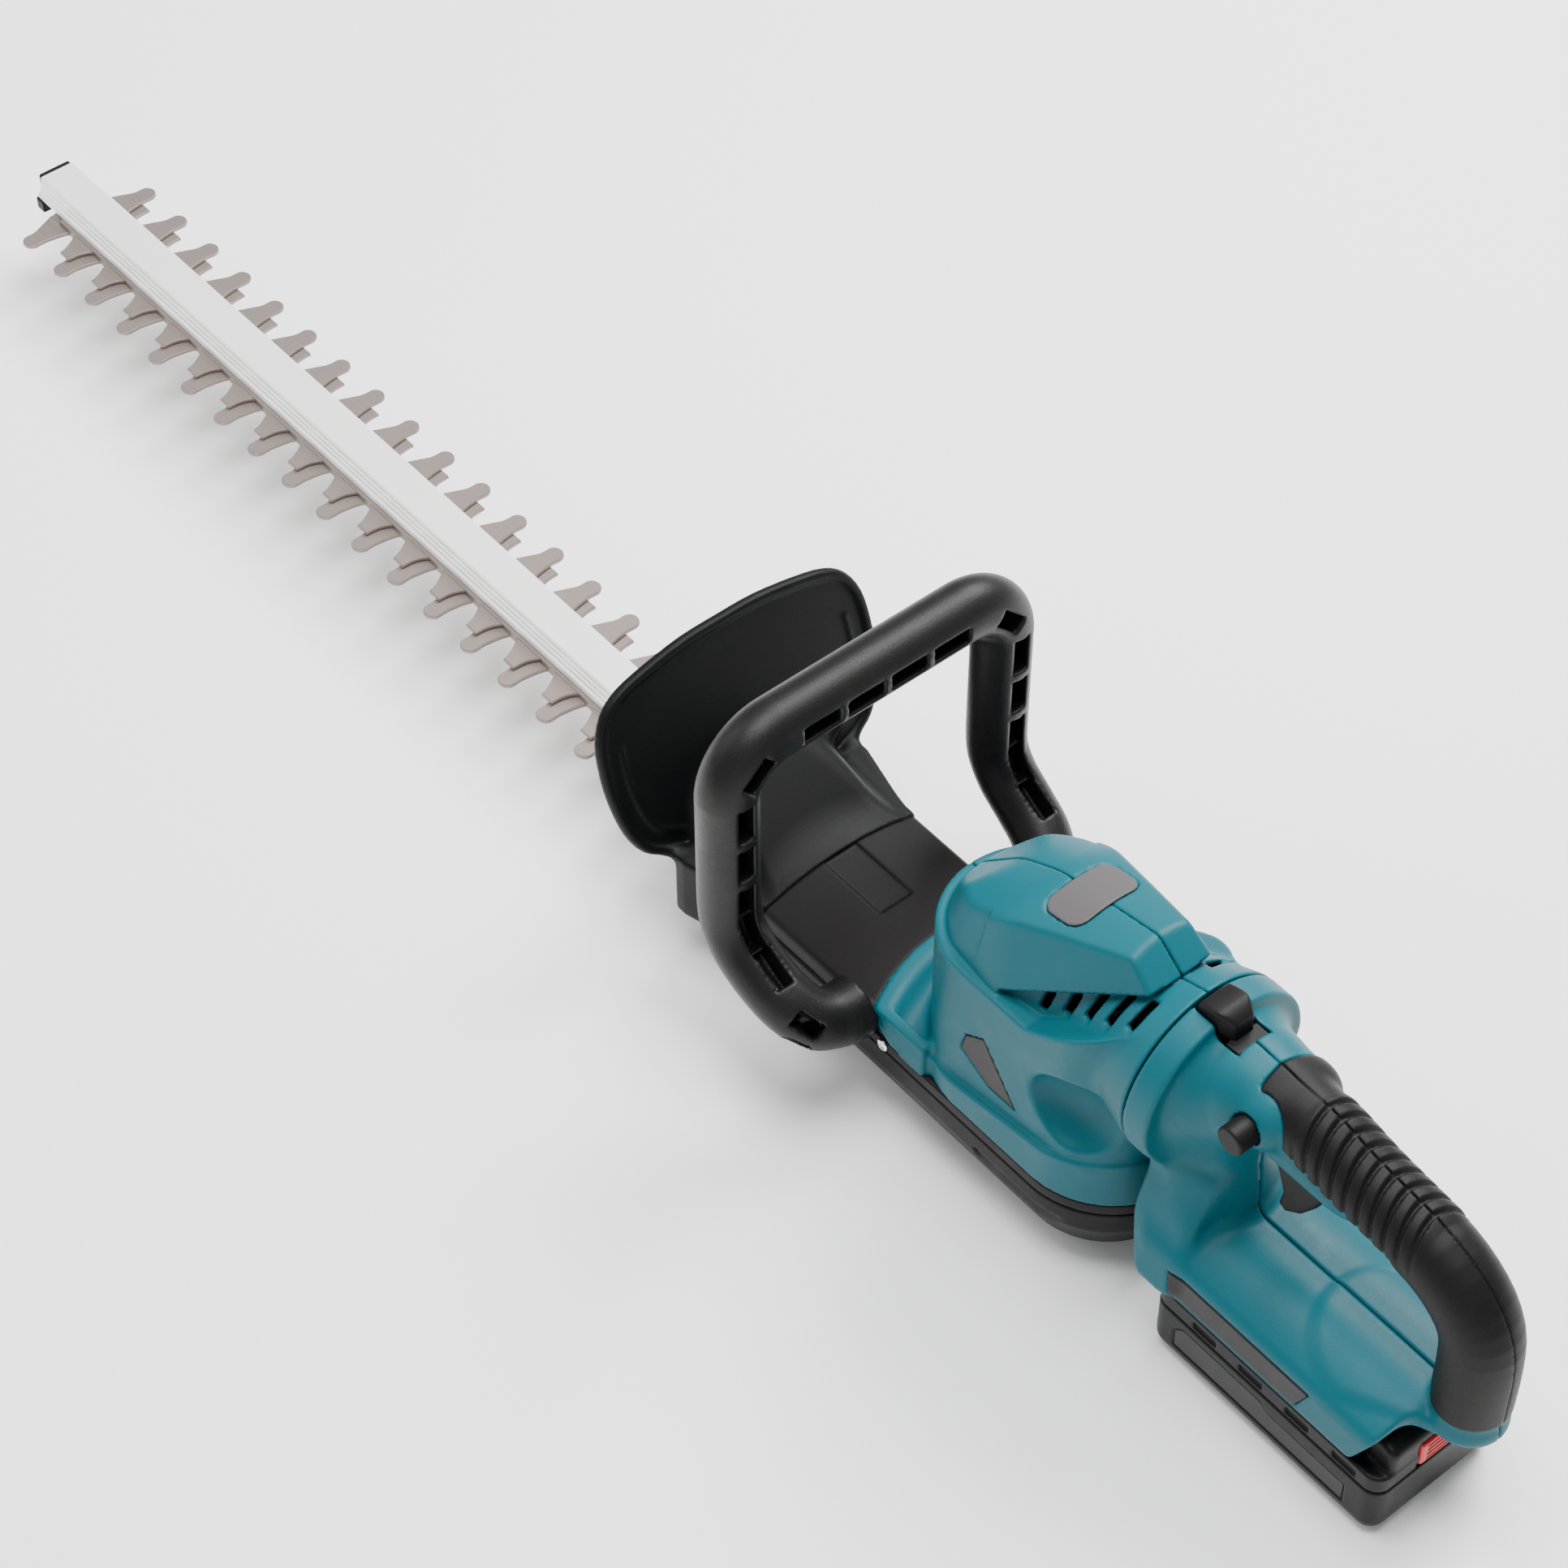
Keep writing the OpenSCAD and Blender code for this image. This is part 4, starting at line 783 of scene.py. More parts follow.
class RearHandle:
    """Swivelling D-shaped handle: collar, grip, posts and battery tray."""

    grip = ((-392, 158.0), (-416, 158.2), (-442, 152.4), (-462, 149.5), (-484, 146), (-500, 137), (-509, 124), (-511.5, 106), (-511.5, 80))

    def grip_bar(self, p: Grid, r: float) -> np.ndarray:
        """The bar under the palm."""
        path = [(x, 0.0, z) for x, z in smooth(self.grip, 3)]
        return tube(p, path, [r] * len(path))

    def body(self, p: Grid) -> np.ndarray:
        """Outer surface of the coloured shell."""
        q = mirrored(p)
        x, y, z = q
        collar = rod(q, 0, (0, 137.5), (-364, -350.3), 44, 1.6)
        shoulder = limb(q, (-352, 0, 139), (-380, 0, 151), 41, 24.5)
        shoulder = smax(shoulder, x + 352, 1)
        stem = limb(q, (-366, 0, 146), (-396, 0, 159), 30, 16.4)
        boss = limb(q, (-380, 0, 152), (-399, 10, 157), 17, 13.5)
        post = limb(q, (-366, 0, 130), (-372, 0, 70), 21, 20)
        post = smax(post, x + 352, 1)
        front = smax(box(q, (-384, -60, 44), (-351.5, 60, 104), 7), y - 26 - np.maximum(100 - z, 0) * 0.30, 6)
        front = smax(front, plane(q, (0.8, 0, -0.45), (-356, 0, 62)), 3)
        tray = box(q, (-500, -39.3, 40.8), (-362, 39.3, 90), 5)
        crown = 76.6 - np.maximum(y - 8, 0) ** 2 * 0.0125 - np.clip((-x - 470) / 60, 0, 1) * 1.0
        tray = smax(tray, (z - crown) * 0.85, 4)
        tray = smax(tray, plane(q, (-0.9, 0, -0.42), (-486, 0, 41)), 3)
        rear = limb((x, y, z * 0), (-472, 0, 0), (-511.5, 0, 0), 33, 16.9)
        rear = smax(rear, np.maximum((z - crown + 0.4) * 0.85, 66.2 - z), 4)
        cheek = box(q, (-447, -14.2, 136.5), (-392, 14.2, 154), 4)
        bar = smin(self.grip_bar(p, 15.9), smax(cheek, plane(q, (-0.5, 0, -0.86), (-446, 0, 141)), 3), 4)
        d = smin(collar, shoulder, 5)
        d = smin(d, stem, 9)
        d = smin(d, post, 12)
        d = smin(d, boss, 6)
        d = smin(d, front, 9)
        d = smin(d, tray, 7)
        d = smin(d, rear, 5)
        d = smin(d, bar, 3)
        d = cut(d, ball(q, (-386, 46, 112), (22, 26, 34)), 8)
        d = smax(d, x + 350.4, 0.8)
        return d

    def zone(self, p: Grid) -> np.ndarray:
        """Space that the soft grip takes from the coloured shell, negative inside."""
        x, y, z = p
        front = x + 394.5 - np.clip((z - 150) / 20, 0, 1) * 3 + 0.12 * np.abs(y)
        low = np.where(x > -472, (146 + 0.13 * (x + 470) - z) * 0.95, (146 + 2.2 * (x + 472) - z) * 0.41)
        button = np.where(y > 0, 15.2 - np.hypot(x + 397, z - 157), -20.0)
        return chain((front, low, button, 79.8 - z), 1.5, smax)

    def rubber(self, p: Grid) -> np.ndarray:
        """Soft grip over the bar with its ribs."""
        x, y, z = p
        q = mirrored(p)
        bar = smin(self.grip_bar(p, 16.6), self.body(p) - 0.5, 2)
        ribs = np.clip((x + 484) / 6, 0, 1) * np.clip((-414 - x) / 5, 0, 1)
        phase = (x + 414 - 0.25 * (z - 150) + 0.10 * q[1]) / 7.0
        groove = np.clip(1 - np.abs(np.mod(phase, 1) - 0.5) / 0.2, 0, 1)
        upper = np.clip((z - 141) / 8, 0, 1)
        bar = bar - (0.8 - 1.7 * groove * (2 - groove)) * ribs * upper
        return smax(bar, self.zone(p), 1.0)

    def field(self, side: int) -> Field:
        """Returns one half of the coloured shell, side being 1 for left."""

        def at(p: Grid) -> np.ndarray:
            skin = self.body(p)
            d = hollow(skin, 2.5)
            d = cut(d, np.maximum(self.zone(p) - 0.25, -self.grip_bar(p, 14.6)), 0.4)
            d = cut(d, box(p, (-437, -10.6, 100), (-394, 10.6, 152), 1), 0.5)
            d = cut(d, box(p, (-377, -9.5, 168), (-351.5, 9.5, 200), 1), 0.5)
            d = cut(d, box(p, (-383, -9.2, 168), (-370, 9.2, 174.4), 0.5), 0.3)
            d = cut(d, rod(p, 1, (-397, 157), (0, 60), 7.3, 0.3), 0.4)
            d = cut(d, box(p, (-418, -21, 36), (-380, 21, 48), 0.5), 0.4)
            d = cut(d, rod(p, 0, (0, 137.5), (-359, -349), 26.3, 0.3), 0.4)
            d = cut(d, rod(p, 0, (0, 137.5), (-358.6, -353.2), 31.4, 0.3), 0.4)
            plate = np.maximum(outline(p[0], p[2], tray_plate_points(0.4)), 30 - np.abs(p[1]))
            d = cut(d, np.maximum(plate, -skin - 1.0), 0.3)
            return side_half(p, d, side, 0.15)

        return at

    def rubber_field(self, p: Grid) -> np.ndarray:
        """Hollow rubber sleeve."""
        d = np.maximum(self.rubber(p), -(self.grip_bar(p, 14.7)))
        d = cut(d, rod(p, 1, (-397, 157), (0, 60), 8.4, 0.3), 0.4)
        groove = np.maximum(np.abs(p[1]) - 0.25, -(self.grip_bar(p, 16.0)))
        return cut(d, groove, 0.4)


def tray_plate_points(grow: float) -> list[tuple[float, float]]:
    """Corners of the plate on the battery tray's side."""
    return [(-384 + grow, 45.5 - grow), (-381 + grow, 60 + grow), (-462 - grow, 60 + grow), (-455 - grow, 45.5 - grow)]


def tray_plates(p: Grid) -> np.ndarray:
    """Blank plates in the battery tray's sides."""
    shape = np.maximum(outline(p[0], p[2], tray_plate_points(0.0)), 30 - np.abs(p[1]))
    return smax(shape, np.abs(RearHandle().body(p) + 0.5) - 0.45, 0.3)


class BatteryPack:
    """Slide-on battery."""

    def plan(self, p: Grid, inset: float) -> np.ndarray:
        """Plan outline, rounded."""
        return box((p[0], p[1], p[0] * 0), (-503 + inset, inset - 37.4, -50), (-372 - inset, 37.4 - inset, 50), 8 - inset)

    def case(self, p: Grid) -> np.ndarray:
        """Lower half of the battery."""
        q = mirrored(p)
        x, y, z = q
        d = smax(self.plan(q, 0) + np.maximum(8 - z, 0) ** 2 * 0.07, np.maximum(z - 29.9, 0.1 - z), 1)
        d = cut(d, smax(self.plan(q, 6.2), 3.2 - z, 1), 0.8)
        label = outline(x, z, [(-486, 9.6), (-486, 21.6), (-441, 21.6), (-437, 25), (-391, 25), (-386, 20.5), (-386, 9.6)])
        d = cut(d, np.maximum(label, 36.6 - y), 0.4)
        rib = np.abs(np.mod(x + 500, 9) - 4.5) - 1.4
        return cut(d, np.maximum(np.maximum(rib, np.abs(x + 437) - 44), np.maximum(z - 5, 36.2 - y)), 0.5)

    def lid(self, p: Grid) -> np.ndarray:
        """Upper half with the rear hump and the slide."""
        q = mirrored(p)
        x, y, z = q
        d = smax(self.plan(q, 0.25), np.maximum(z - 39.9, 30.2 - z), 1.2)
        hump = smax(box(q, (-502.8, -30, 34), (-487, 30, 56), 3.5), plane(q, (-0.45, 0, 0.9), (-500, 0, 54)), 3)
        d = smin(d, hump, 2.5)
        d = cut(d, box(q, (-424, -20, 34), (-364, 20, 50), 1), 0.5)
        d = cut(d, box(q, (-480, -34, 25), (-430, 34, 35), 0.5), 0.4)
        d = cut(d, box(q, (-520, -14.4, 25), (-493, 14.4, 48.4), 0.8), 0.4)
        notch = np.abs(np.mod(x + 497, 27) - 13.5) - 6.5
        return cut(d, np.maximum(np.maximum(notch, np.abs(x + 437) - 54), np.maximum(np.abs(z - 34.5) - 2.0, 36.0 - y)), 0.5)

    def plates(self, p: Grid) -> np.ndarray:
        """Blank plates in the battery's sides."""
        x, y, z = mirrored(p)
        points = [(-485.6, 10), (-485.6, 21.2), (-441.2, 21.2), (-437.2, 24.6), (-391.2, 24.6), (-386.4, 20.3), (-386.4, 10)]
        return prism(outline(x, z, points), y, 36.0, 37.2, 0.35)

    def latch(self, p: Grid) -> np.ndarray:
        """Red catch with finger ribs."""
        x, y, z = p
        d = box(p, (-504, -14, 33.5), (-494, 14, 47.5), 1.4)
        rib = np.abs(np.mod(z - 34.4, 3.0) - 1.5) - 0.55
        d = cut(d, np.maximum(np.maximum(rib, np.abs(y) - 10.5), x + 502.8), 0.3)
        return cut(d, rod(p, 2, (-499, 0), (30, 39), 3.1, 0.2), 0.2)


class Buttons:
    """Shapes of the small controls."""

    def swivel_lock(self, p: Grid) -> np.ndarray:
        """Wedge-shaped slider that frees the collar."""
        q = mirrored(p)
        x, y, z = q
        cap = smax(box(q, (-371, -9, 169), (-352, 9, 187), 2.2), y - 9.2 + np.maximum(-362 - x, 0) * 0.45, 1.2)
        cap = smax(cap, plane(q, (0.35, 0.0, 0.94), (-359, 0, 186.3)), 2)
        cap = smax(cap, plane(q, (-0.55, 0.0, 0.83), (-367, 0, 186)), 2)
        cap = smin(cap, box(q, (-371, -4, 165), (-366, 4, 170), 0.8), 0.5)
        return smin(cap, box(q, (-377, -8.6, 172.8), (-369, 8.6, 174.0), 0.4), 0.4)

    def lock_off(self, p: Grid) -> np.ndarray:
        """Round push button."""
        return rod(p, 1, (-397, 157), (3, 31.9), 6.8, 1.3)

    def trigger(self, p: Grid) -> np.ndarray:
        """Curved trigger."""
        x, y, z = p
        points = [(-396.5, 143), (-396.5, 147), (-404, 149.2), (-424, 147), (-432, 143), (-431, 134), (-427, 124),
                  (-420, 113), (-412.5, 107.2), (-408, 109.5), (-409.5, 118), (-405, 130), (-398, 140)]
        d = prism(outline(x, z, points), y, -9.9, 9.9, 2.2)
        d = smin(d, rod(p, 1, (-400, 145.5), (-9.9, 9.9), 4, 0.5), 1)
        return cut(d, rod(p, 1, (-400, 145.5), (-20, 20), 1.6, 0.2), 0.2)


def end_cap(p: Grid) -> np.ndarray:
    """Plug in the rail's front end."""
    parts = [
        box(p, (525.5, -9.5, 40.3), (529, 9.5, 52.6), 1.3),
        box(p, (511.5, -7, 45.8), (526, 7, 50.6), 0.5),
        box(p, (520.5, 4, 33), (527.5, 14, 40.3), 1.0),
        box(p, (525.5, 4, 37), (527.5, 12, 42), 0.6),
    ]
    return chain(parts, 0.5)


# ---------------------------------------------------------------- blades and screws


@dataclass(frozen=True)
class BladeSize:
    """Measures of the two blades, in millimetres."""

    pitch: float = 30.0
    count: int = 18
    reach: float = 38.5
    short: float = 28.5
    spine: float = 15.0
    thick: float = 2.3
    bolts: int = 8
    bolt_step: float = 75.0
    first_bolt: float = 470.0
    crank: float = -246.0


@dataclass(frozen=True)
class BladePlan:
    """What makes one blade different from the other."""

    name: str
    top: float
    tip: float
    shift: float
    long_at: float
    long_side: int
    short_at: float
    body: Body


def plate_mesh(name: str, points: Sequence[Point], low: float, high: float, edge: float) -> bpy.types.Mesh:
    """Flat plate with chamfered edges.

    Args:
        name: The mesh's name.
        points: Its outline, anticlockwise, in millimetres.
        low: Height of its underside.
        high: Height of its top.
        edge: Size of the chamfer.

    Returns:
        The mesh, in metres.
    """
    ring = np.array(points, float)
    ahead = np.roll(ring, -1, 0) - ring
    ahead /= np.linalg.norm(ahead, axis=1)[:, None]
    behind = np.roll(ahead, 1, 0)
    inward = np.stack([-(ahead + behind)[:, 1], (ahead + behind)[:, 0]], 1)
    inward /= np.maximum(np.linalg.norm(inward, axis=1), 0.3)[:, None]
    inner = ring + inward * edge
    n = len(ring)
    rings = [(inner, low), (ring, low + edge), (ring, high - edge), (inner, high)]
    verts = [(x * MM, y * MM, z * MM) for shape, z in rings for x, y in shape]
    faces = [[k * n + i, k * n + (i + 1) % n, (k + 1) * n + (i + 1) % n, (k + 1) * n + i] for k in range(3) for i in range(n)]
    faces += [list(range(n))[::-1], [3 * n + i for i in range(n)]]
    mesh = bpy.data.meshes.new(name)
    mesh.from_pydata(verts, [], faces)
    mesh.update()
    return mesh


def tooth_outline(size: BladeSize, long: bool, side: int) -> list[tuple[float, float]]:
    """Outline of one tooth with a straight rear edge and a swept front edge."""
    tip = 5.0 if long else 4.0
    stop = size.reach - tip if long else size.short
    base = size.spine
    steps = 10
    front, back = [], []
    for i in range(steps + 1):
        t = i / steps
        y = base + (stop - base) * t
        waist = 0.7 * math.exp(-((t - 0.74) / 0.2) ** 2) if long else 0.0
        front.append((tip - waist + (11.0 - tip) * (1 - t) ** 1.5, y))
        back.append((-(tip - waist * 0.5 + (7.4 - tip) * (1 - t) ** 3), y))
    angles = range(18, 171, 18) if long else ()
    cap = [(tip * math.cos(math.radians(a)), stop + tip * math.sin(math.radians(a))) for a in angles]
    points = front + cap + back[::-1]
    if side < 0:
        points = [(x, -y) for x, y in points][::-1]
    return points


def spine_outline(size: BladeSize, plan: BladePlan) -> list[tuple[float, float]]:
    """Outline of the blade's straight back with its yoke."""
    c = size.crank + plan.shift
    half = size.spine
    start = math.degrees(math.asin(half / 23))
    arc = [(c + 23 * math.cos(math.radians(a)), 23 * math.sin(math.radians(a))) for a in np.linspace(start, 360 - start, 40)]
    return arc + [(plan.tip - 1.5, -half), (plan.tip, -8), (plan.tip, 8), (plan.tip - 1.5, half)]


def slot_outline(size: BladeSize) -> list[tuple[float, float]]:
    """Outline of one guide slot, centred on nought."""
    r, half = 4.3, 4.4
    right = [(half + r * math.cos(math.radians(a)), r * math.sin(math.radians(a))) for a in range(-90, 91, 15)]
    return right + [(-x, -y) for x, y in right]


class Nodes:
    """A Geometry Nodes tree under construction."""

    def __init__(self, name: str) -> None:
        self.tree = bpy.data.node_groups.new(name, "GeometryNodeTree")
        self.tree.is_modifier = True
        self.enter = self.tree.nodes.new("NodeGroupInput")
        self.leave = self.tree.nodes.new("NodeGroupOutput")
        self.keys: dict[str, str] = {}
        self.tree.interface.new_socket("Geometry", in_out="INPUT", socket_type="NodeSocketGeometry")
        self.tree.interface.new_socket("Geometry", in_out="OUTPUT", socket_type="NodeSocketGeometry")

    def input(self, name: str, kind: str, value: object = None) -> bpy.types.NodeSocket:
        """Adds a named input of the modifier."""
        item = self.tree.interface.new_socket(name, in_out="INPUT", socket_type=kind)
        if value is not None:
            item.default_value = value
        self.keys[name] = item.identifier
        return self.enter.outputs[name]

    def add(self, kind: str, **links: object) -> bpy.types.Node:
        """Adds a node; each keyword links or sets the input of that name."""
        node = self.tree.nodes.new(kind)
        for key, value in links.items():
            target = node.inputs[key.replace("_", " ")]
            if isinstance(value, bpy.types.NodeSocket):
                self.tree.links.new(value, target)
            else:
                target.default_value = value
        return node

    def row(self, piece: bpy.types.NodeSocket, count: bpy.types.NodeSocket, start: bpy.types.NodeSocket,
            step: bpy.types.NodeSocket) -> bpy.types.NodeSocket:
        """Repeats an object along a straight line."""
        line = self.add("GeometryNodeMeshLine", Count=count, Start_Location=start, Offset=step)
        info = self.add("GeometryNodeObjectInfo", Object=piece)
        spread = self.add("GeometryNodeInstanceOnPoints", Points=line.outputs["Mesh"], Instance=info.outputs["Geometry"])
        return spread.outputs["Instances"]

    def finish(self, geometry: bpy.types.NodeSocket, material: bpy.types.NodeSocket) -> None:
        """Realises the instances and gives them their material."""
        real = self.add("GeometryNodeRealizeInstances", Geometry=geometry)
        painted = self.add("GeometryNodeSetMaterial", Geometry=real.outputs["Geometry"], Material=material)
        self.tree.links.new(painted.outputs["Geometry"], self.leave.inputs["Geometry"])


def blade_tree() -> Nodes:
    """Tree that lays out two rows of teeth and punches the guide slots."""
    g = Nodes("blade_layout")
    long = g.input("Long tooth", "NodeSocketObject")
    short = g.input("Short tooth", "NodeSocketObject")
    slot = g.input("Slot", "NodeSocketObject")
    count = g.input("Teeth in a row", "NodeSocketInt", 18)
    slots = g.input("Slots", "NodeSocketInt", 8)
    long_at = g.input("First long tooth", "NodeSocketVector")
    short_at = g.input("First short tooth", "NodeSocketVector")
    slot_at = g.input("First slot", "NodeSocketVector")
    pitch = g.input("Tooth step", "NodeSocketVector")
    slot_step = g.input("Slot step", "NodeSocketVector")
    material = g.input("Material", "NodeSocketMaterial")
    holes = g.add("GeometryNodeRealizeInstances", Geometry=g.row(slot, slots, slot_at, slot_step))
    punched = g.tree.nodes.new("GeometryNodeMeshBoolean")
    punched.operation = "DIFFERENCE"
    g.tree.links.new(g.enter.outputs["Geometry"], punched.inputs["Mesh 1"])
    g.tree.links.new(holes.outputs["Geometry"], punched.inputs["Mesh 2"])
    join = g.tree.nodes.new("GeometryNodeJoinGeometry")
    for socket in (punched.outputs["Mesh"], g.row(long, count, long_at, pitch), g.row(short, count, short_at, pitch)):
        g.tree.links.new(socket, join.inputs["Geometry"])
    g.finish(join.outputs["Geometry"], material)
    return g


def screw_tree() -> Nodes:
    """Tree that sets a screw on every point, its head facing along the aim attribute."""
    g = Nodes("screw_layout")
    screw = g.input("Screw", "NodeSocketObject")
    material = g.input("Material", "NodeSocketMaterial")
    info = g.add("GeometryNodeObjectInfo", Object=screw)
    aim = g.tree.nodes.new("GeometryNodeInputNamedAttribute")
    aim.data_type = "FLOAT_VECTOR"
    aim.inputs["Name"].default_value = "aim"
    turn = g.tree.nodes.new("FunctionNodeAlignRotationToVector")
    turn.axis = "Z"
    g.tree.links.new(aim.outputs["Attribute"], turn.inputs["Vector"])
    spread = g.add("GeometryNodeInstanceOnPoints", Points=g.enter.outputs["Geometry"], Instance=info.outputs["Geometry"],
                   Rotation=turn.outputs["Rotation"])
    g.finish(spread.outputs["Instances"], material)
    return g


def baked(name: str, base: bpy.types.Mesh, nodes: Nodes, values: dict[str, object], helpers: Sequence[bpy.types.Object]) -> bpy.types.Object:
    """Runs a tree on a mesh and returns the result as an object with a plain mesh."""
    obj = bpy.data.objects.new(name, base)
    bpy.context.scene.collection.objects.link(obj)
    modifier = obj.modifiers.new("layout", "NODES")
    modifier.node_group = nodes.tree
    for key, value in values.items():
        modifier[nodes.keys[key]] = value
    bpy.context.view_layer.update()
    graph = bpy.context.evaluated_depsgraph_get()
    mesh = bpy.data.meshes.new_from_object(obj.evaluated_get(graph))
    obj.modifiers.clear()
    obj.data = mesh
    mesh.name = name
    for helper in helpers:
        bpy.data.objects.remove(helper)
    return obj


def helper(name: str, mesh: bpy.types.Mesh) -> bpy.types.Object:
    """Object that only feeds a tree."""
    obj = bpy.data.objects.new(name, mesh)
    bpy.context.scene.collection.objects.link(obj)
    return obj


class Blades:
    """The two reciprocating blades."""

    size = BladeSize()
    plans = (
        BladePlan("upper_blade_steel", 40.0, 504.0, 2.92, 492.0, -1, 477.0, Body.TOP),
        BladePlan("lower_blade_steel", 37.5, 513.0, -2.92, 501.16, 1, 486.16, Body.BOTTOM),
    )

    def build(self, material: bpy.types.Material) -> list[tuple[bpy.types.Object, BladePlan]]:
        """Returns each blade with its plan."""
        tree = blade_tree()
        s = self.size
        made = []
        for plan in self.plans:
            low, high = plan.top - s.thick, plan.top
            long = helper("long", plate_mesh("long", tooth_outline(s, True, plan.long_side), low, high, 0.45))
            short = helper("short", plate_mesh("short", tooth_outline(s, False, -plan.long_side), low, high, 0.45))
            slot = helper("slot", plate_mesh("slot", slot_outline(s), low - 1, high + 1, 0.1))
            spine = plate_mesh("spine", spine_outline(s, plan), low, high, 0.2)
            values = {
                "Long tooth": long, "Short tooth": short, "Slot": slot, "Teeth in a row": s.count, "Slots": s.bolts,
                "First long tooth": (plan.long_at * MM, 0, 0), "First short tooth": (plan.short_at * MM, 0, 0),
                "First slot": ((s.first_bolt + plan.shift) * MM, 0, 0), "Tooth step": (-s.pitch * MM, 0, 0),
                "Slot step": (-s.bolt_step * MM, 0, 0), "Material": material,
            }
            made.append((baked(plan.name, spine, tree, values, (long, short, slot)), plan))
        return made


@dataclass(frozen=True)
class ScrewSet:
    """Equal cross-head screws at several places."""

    name: str
    node: str
    places: tuple[tuple[tuple[float, float, float], tuple[float, float, float]], ...]
    head: tuple[float, float]
    shank: tuple[float, float]
    body: Body
    slot: str = "steel_bright"

    def field(self, p: Grid) -> np.ndarray:
        """One screw standing on its seat with the head up."""
        x, y, z = p
        r, h = self.head
        head = smax(rod(p, 2, (0, 0), (0, h), r, 0.4), np.sqrt(x * x + y * y + (z + r * 1.2) ** 2) - (h + r * 1.2), 0.4)
        d = smin(head, rod(p, 2, (0, 0), (-self.shank[1], 0.3), self.shank[0], 0.2), 0.2)
        arm = np.minimum(np.maximum(np.abs(x) - 0.42, np.abs(y) - r * 0.58), np.maximum(np.abs(y) - 0.42, np.abs(x) - r * 0.58))
        return cut(d, np.maximum(arm, h * 0.4 - z), 0.15)

    def build(self, tree: Nodes, material: bpy.types.Material) -> bpy.types.Object:
        """Returns the screws as one object."""
        r, h = self.head
        one = Sculpt(self.name, self.field, (-r, -r, -self.shank[1]), (r, r, h), 0.3).mesh()
        points = bpy.data.meshes.new(self.name)
        points.from_pydata([[c * MM for c in place] for place, _ in self.places], [], [])
        aim = points.attributes.new("aim", "FLOAT_VECTOR", "POINT")
        for item, (_, way) in zip(aim.data, self.places):
            item.vector = way
        screw = helper("screw", one)
        return baked(self.name, points, tree, {"Screw": screw, "Material": material}, (screw,))


def both_sides(x: float, y: float, z: float) -> tuple:
    """The same screw on the left and on the right, facing outward."""
    return ((x, y, z), (0, 1, 0)), ((x, -y, z), (0, -1, 0))


SCREWS = (
    ScrewSet("flange_screw_pair", "flange_screws", both_sides(-208, 46, 46.5), (3.2, 1.6), (1.7, 4.8), Body.MAIN, "chrome_screw"),
    ScrewSet("handle_screw_pair", "handle_screws", both_sides(-190, 62, 58), (5.0, 3.6), (2.1, 22.5), Body.MAIN),
    ScrewSet("housing_screw_set", "housing_screws",
             tuple(((x, y, z), (0, -1, 0)) for x, z, y in ((-229, 70, -33), (-229, 112, -33), (-316, 70, -38), (-316, 112, -38))),
             (3.2, 2.6), (1.5, 44), Body.MAIN),
    ScrewSet("base_screw_set", "base_screws",
             tuple(((x, y, 16), (0, 0, -1)) for x, y in ((-141, 29), (-141, -29), (-205, 33), (-205, -33), (-325, 22), (-325, -22))),
             (3.8, 2.8), (1.9, 31), Body.MAIN),
    ScrewSet("grip_screw_set", "rear_handle_screws",
             tuple(((x, y, z), (0, -1, 0)) for x, z, y in ((-372, 84, -25), (-505, 76, -16), (-470, 62, -34))),
             (3.2, 2.6), (1.5, 16), Body.HANDLE),
)


# ---------------------------------------------------------------- assembly


@dataclass(frozen=True)
class Part:
    """A sculpted piece and what it stands for."""

    sculpt: Sculpt
    body: Body
    nodes: tuple[str, ...]
    slot: str


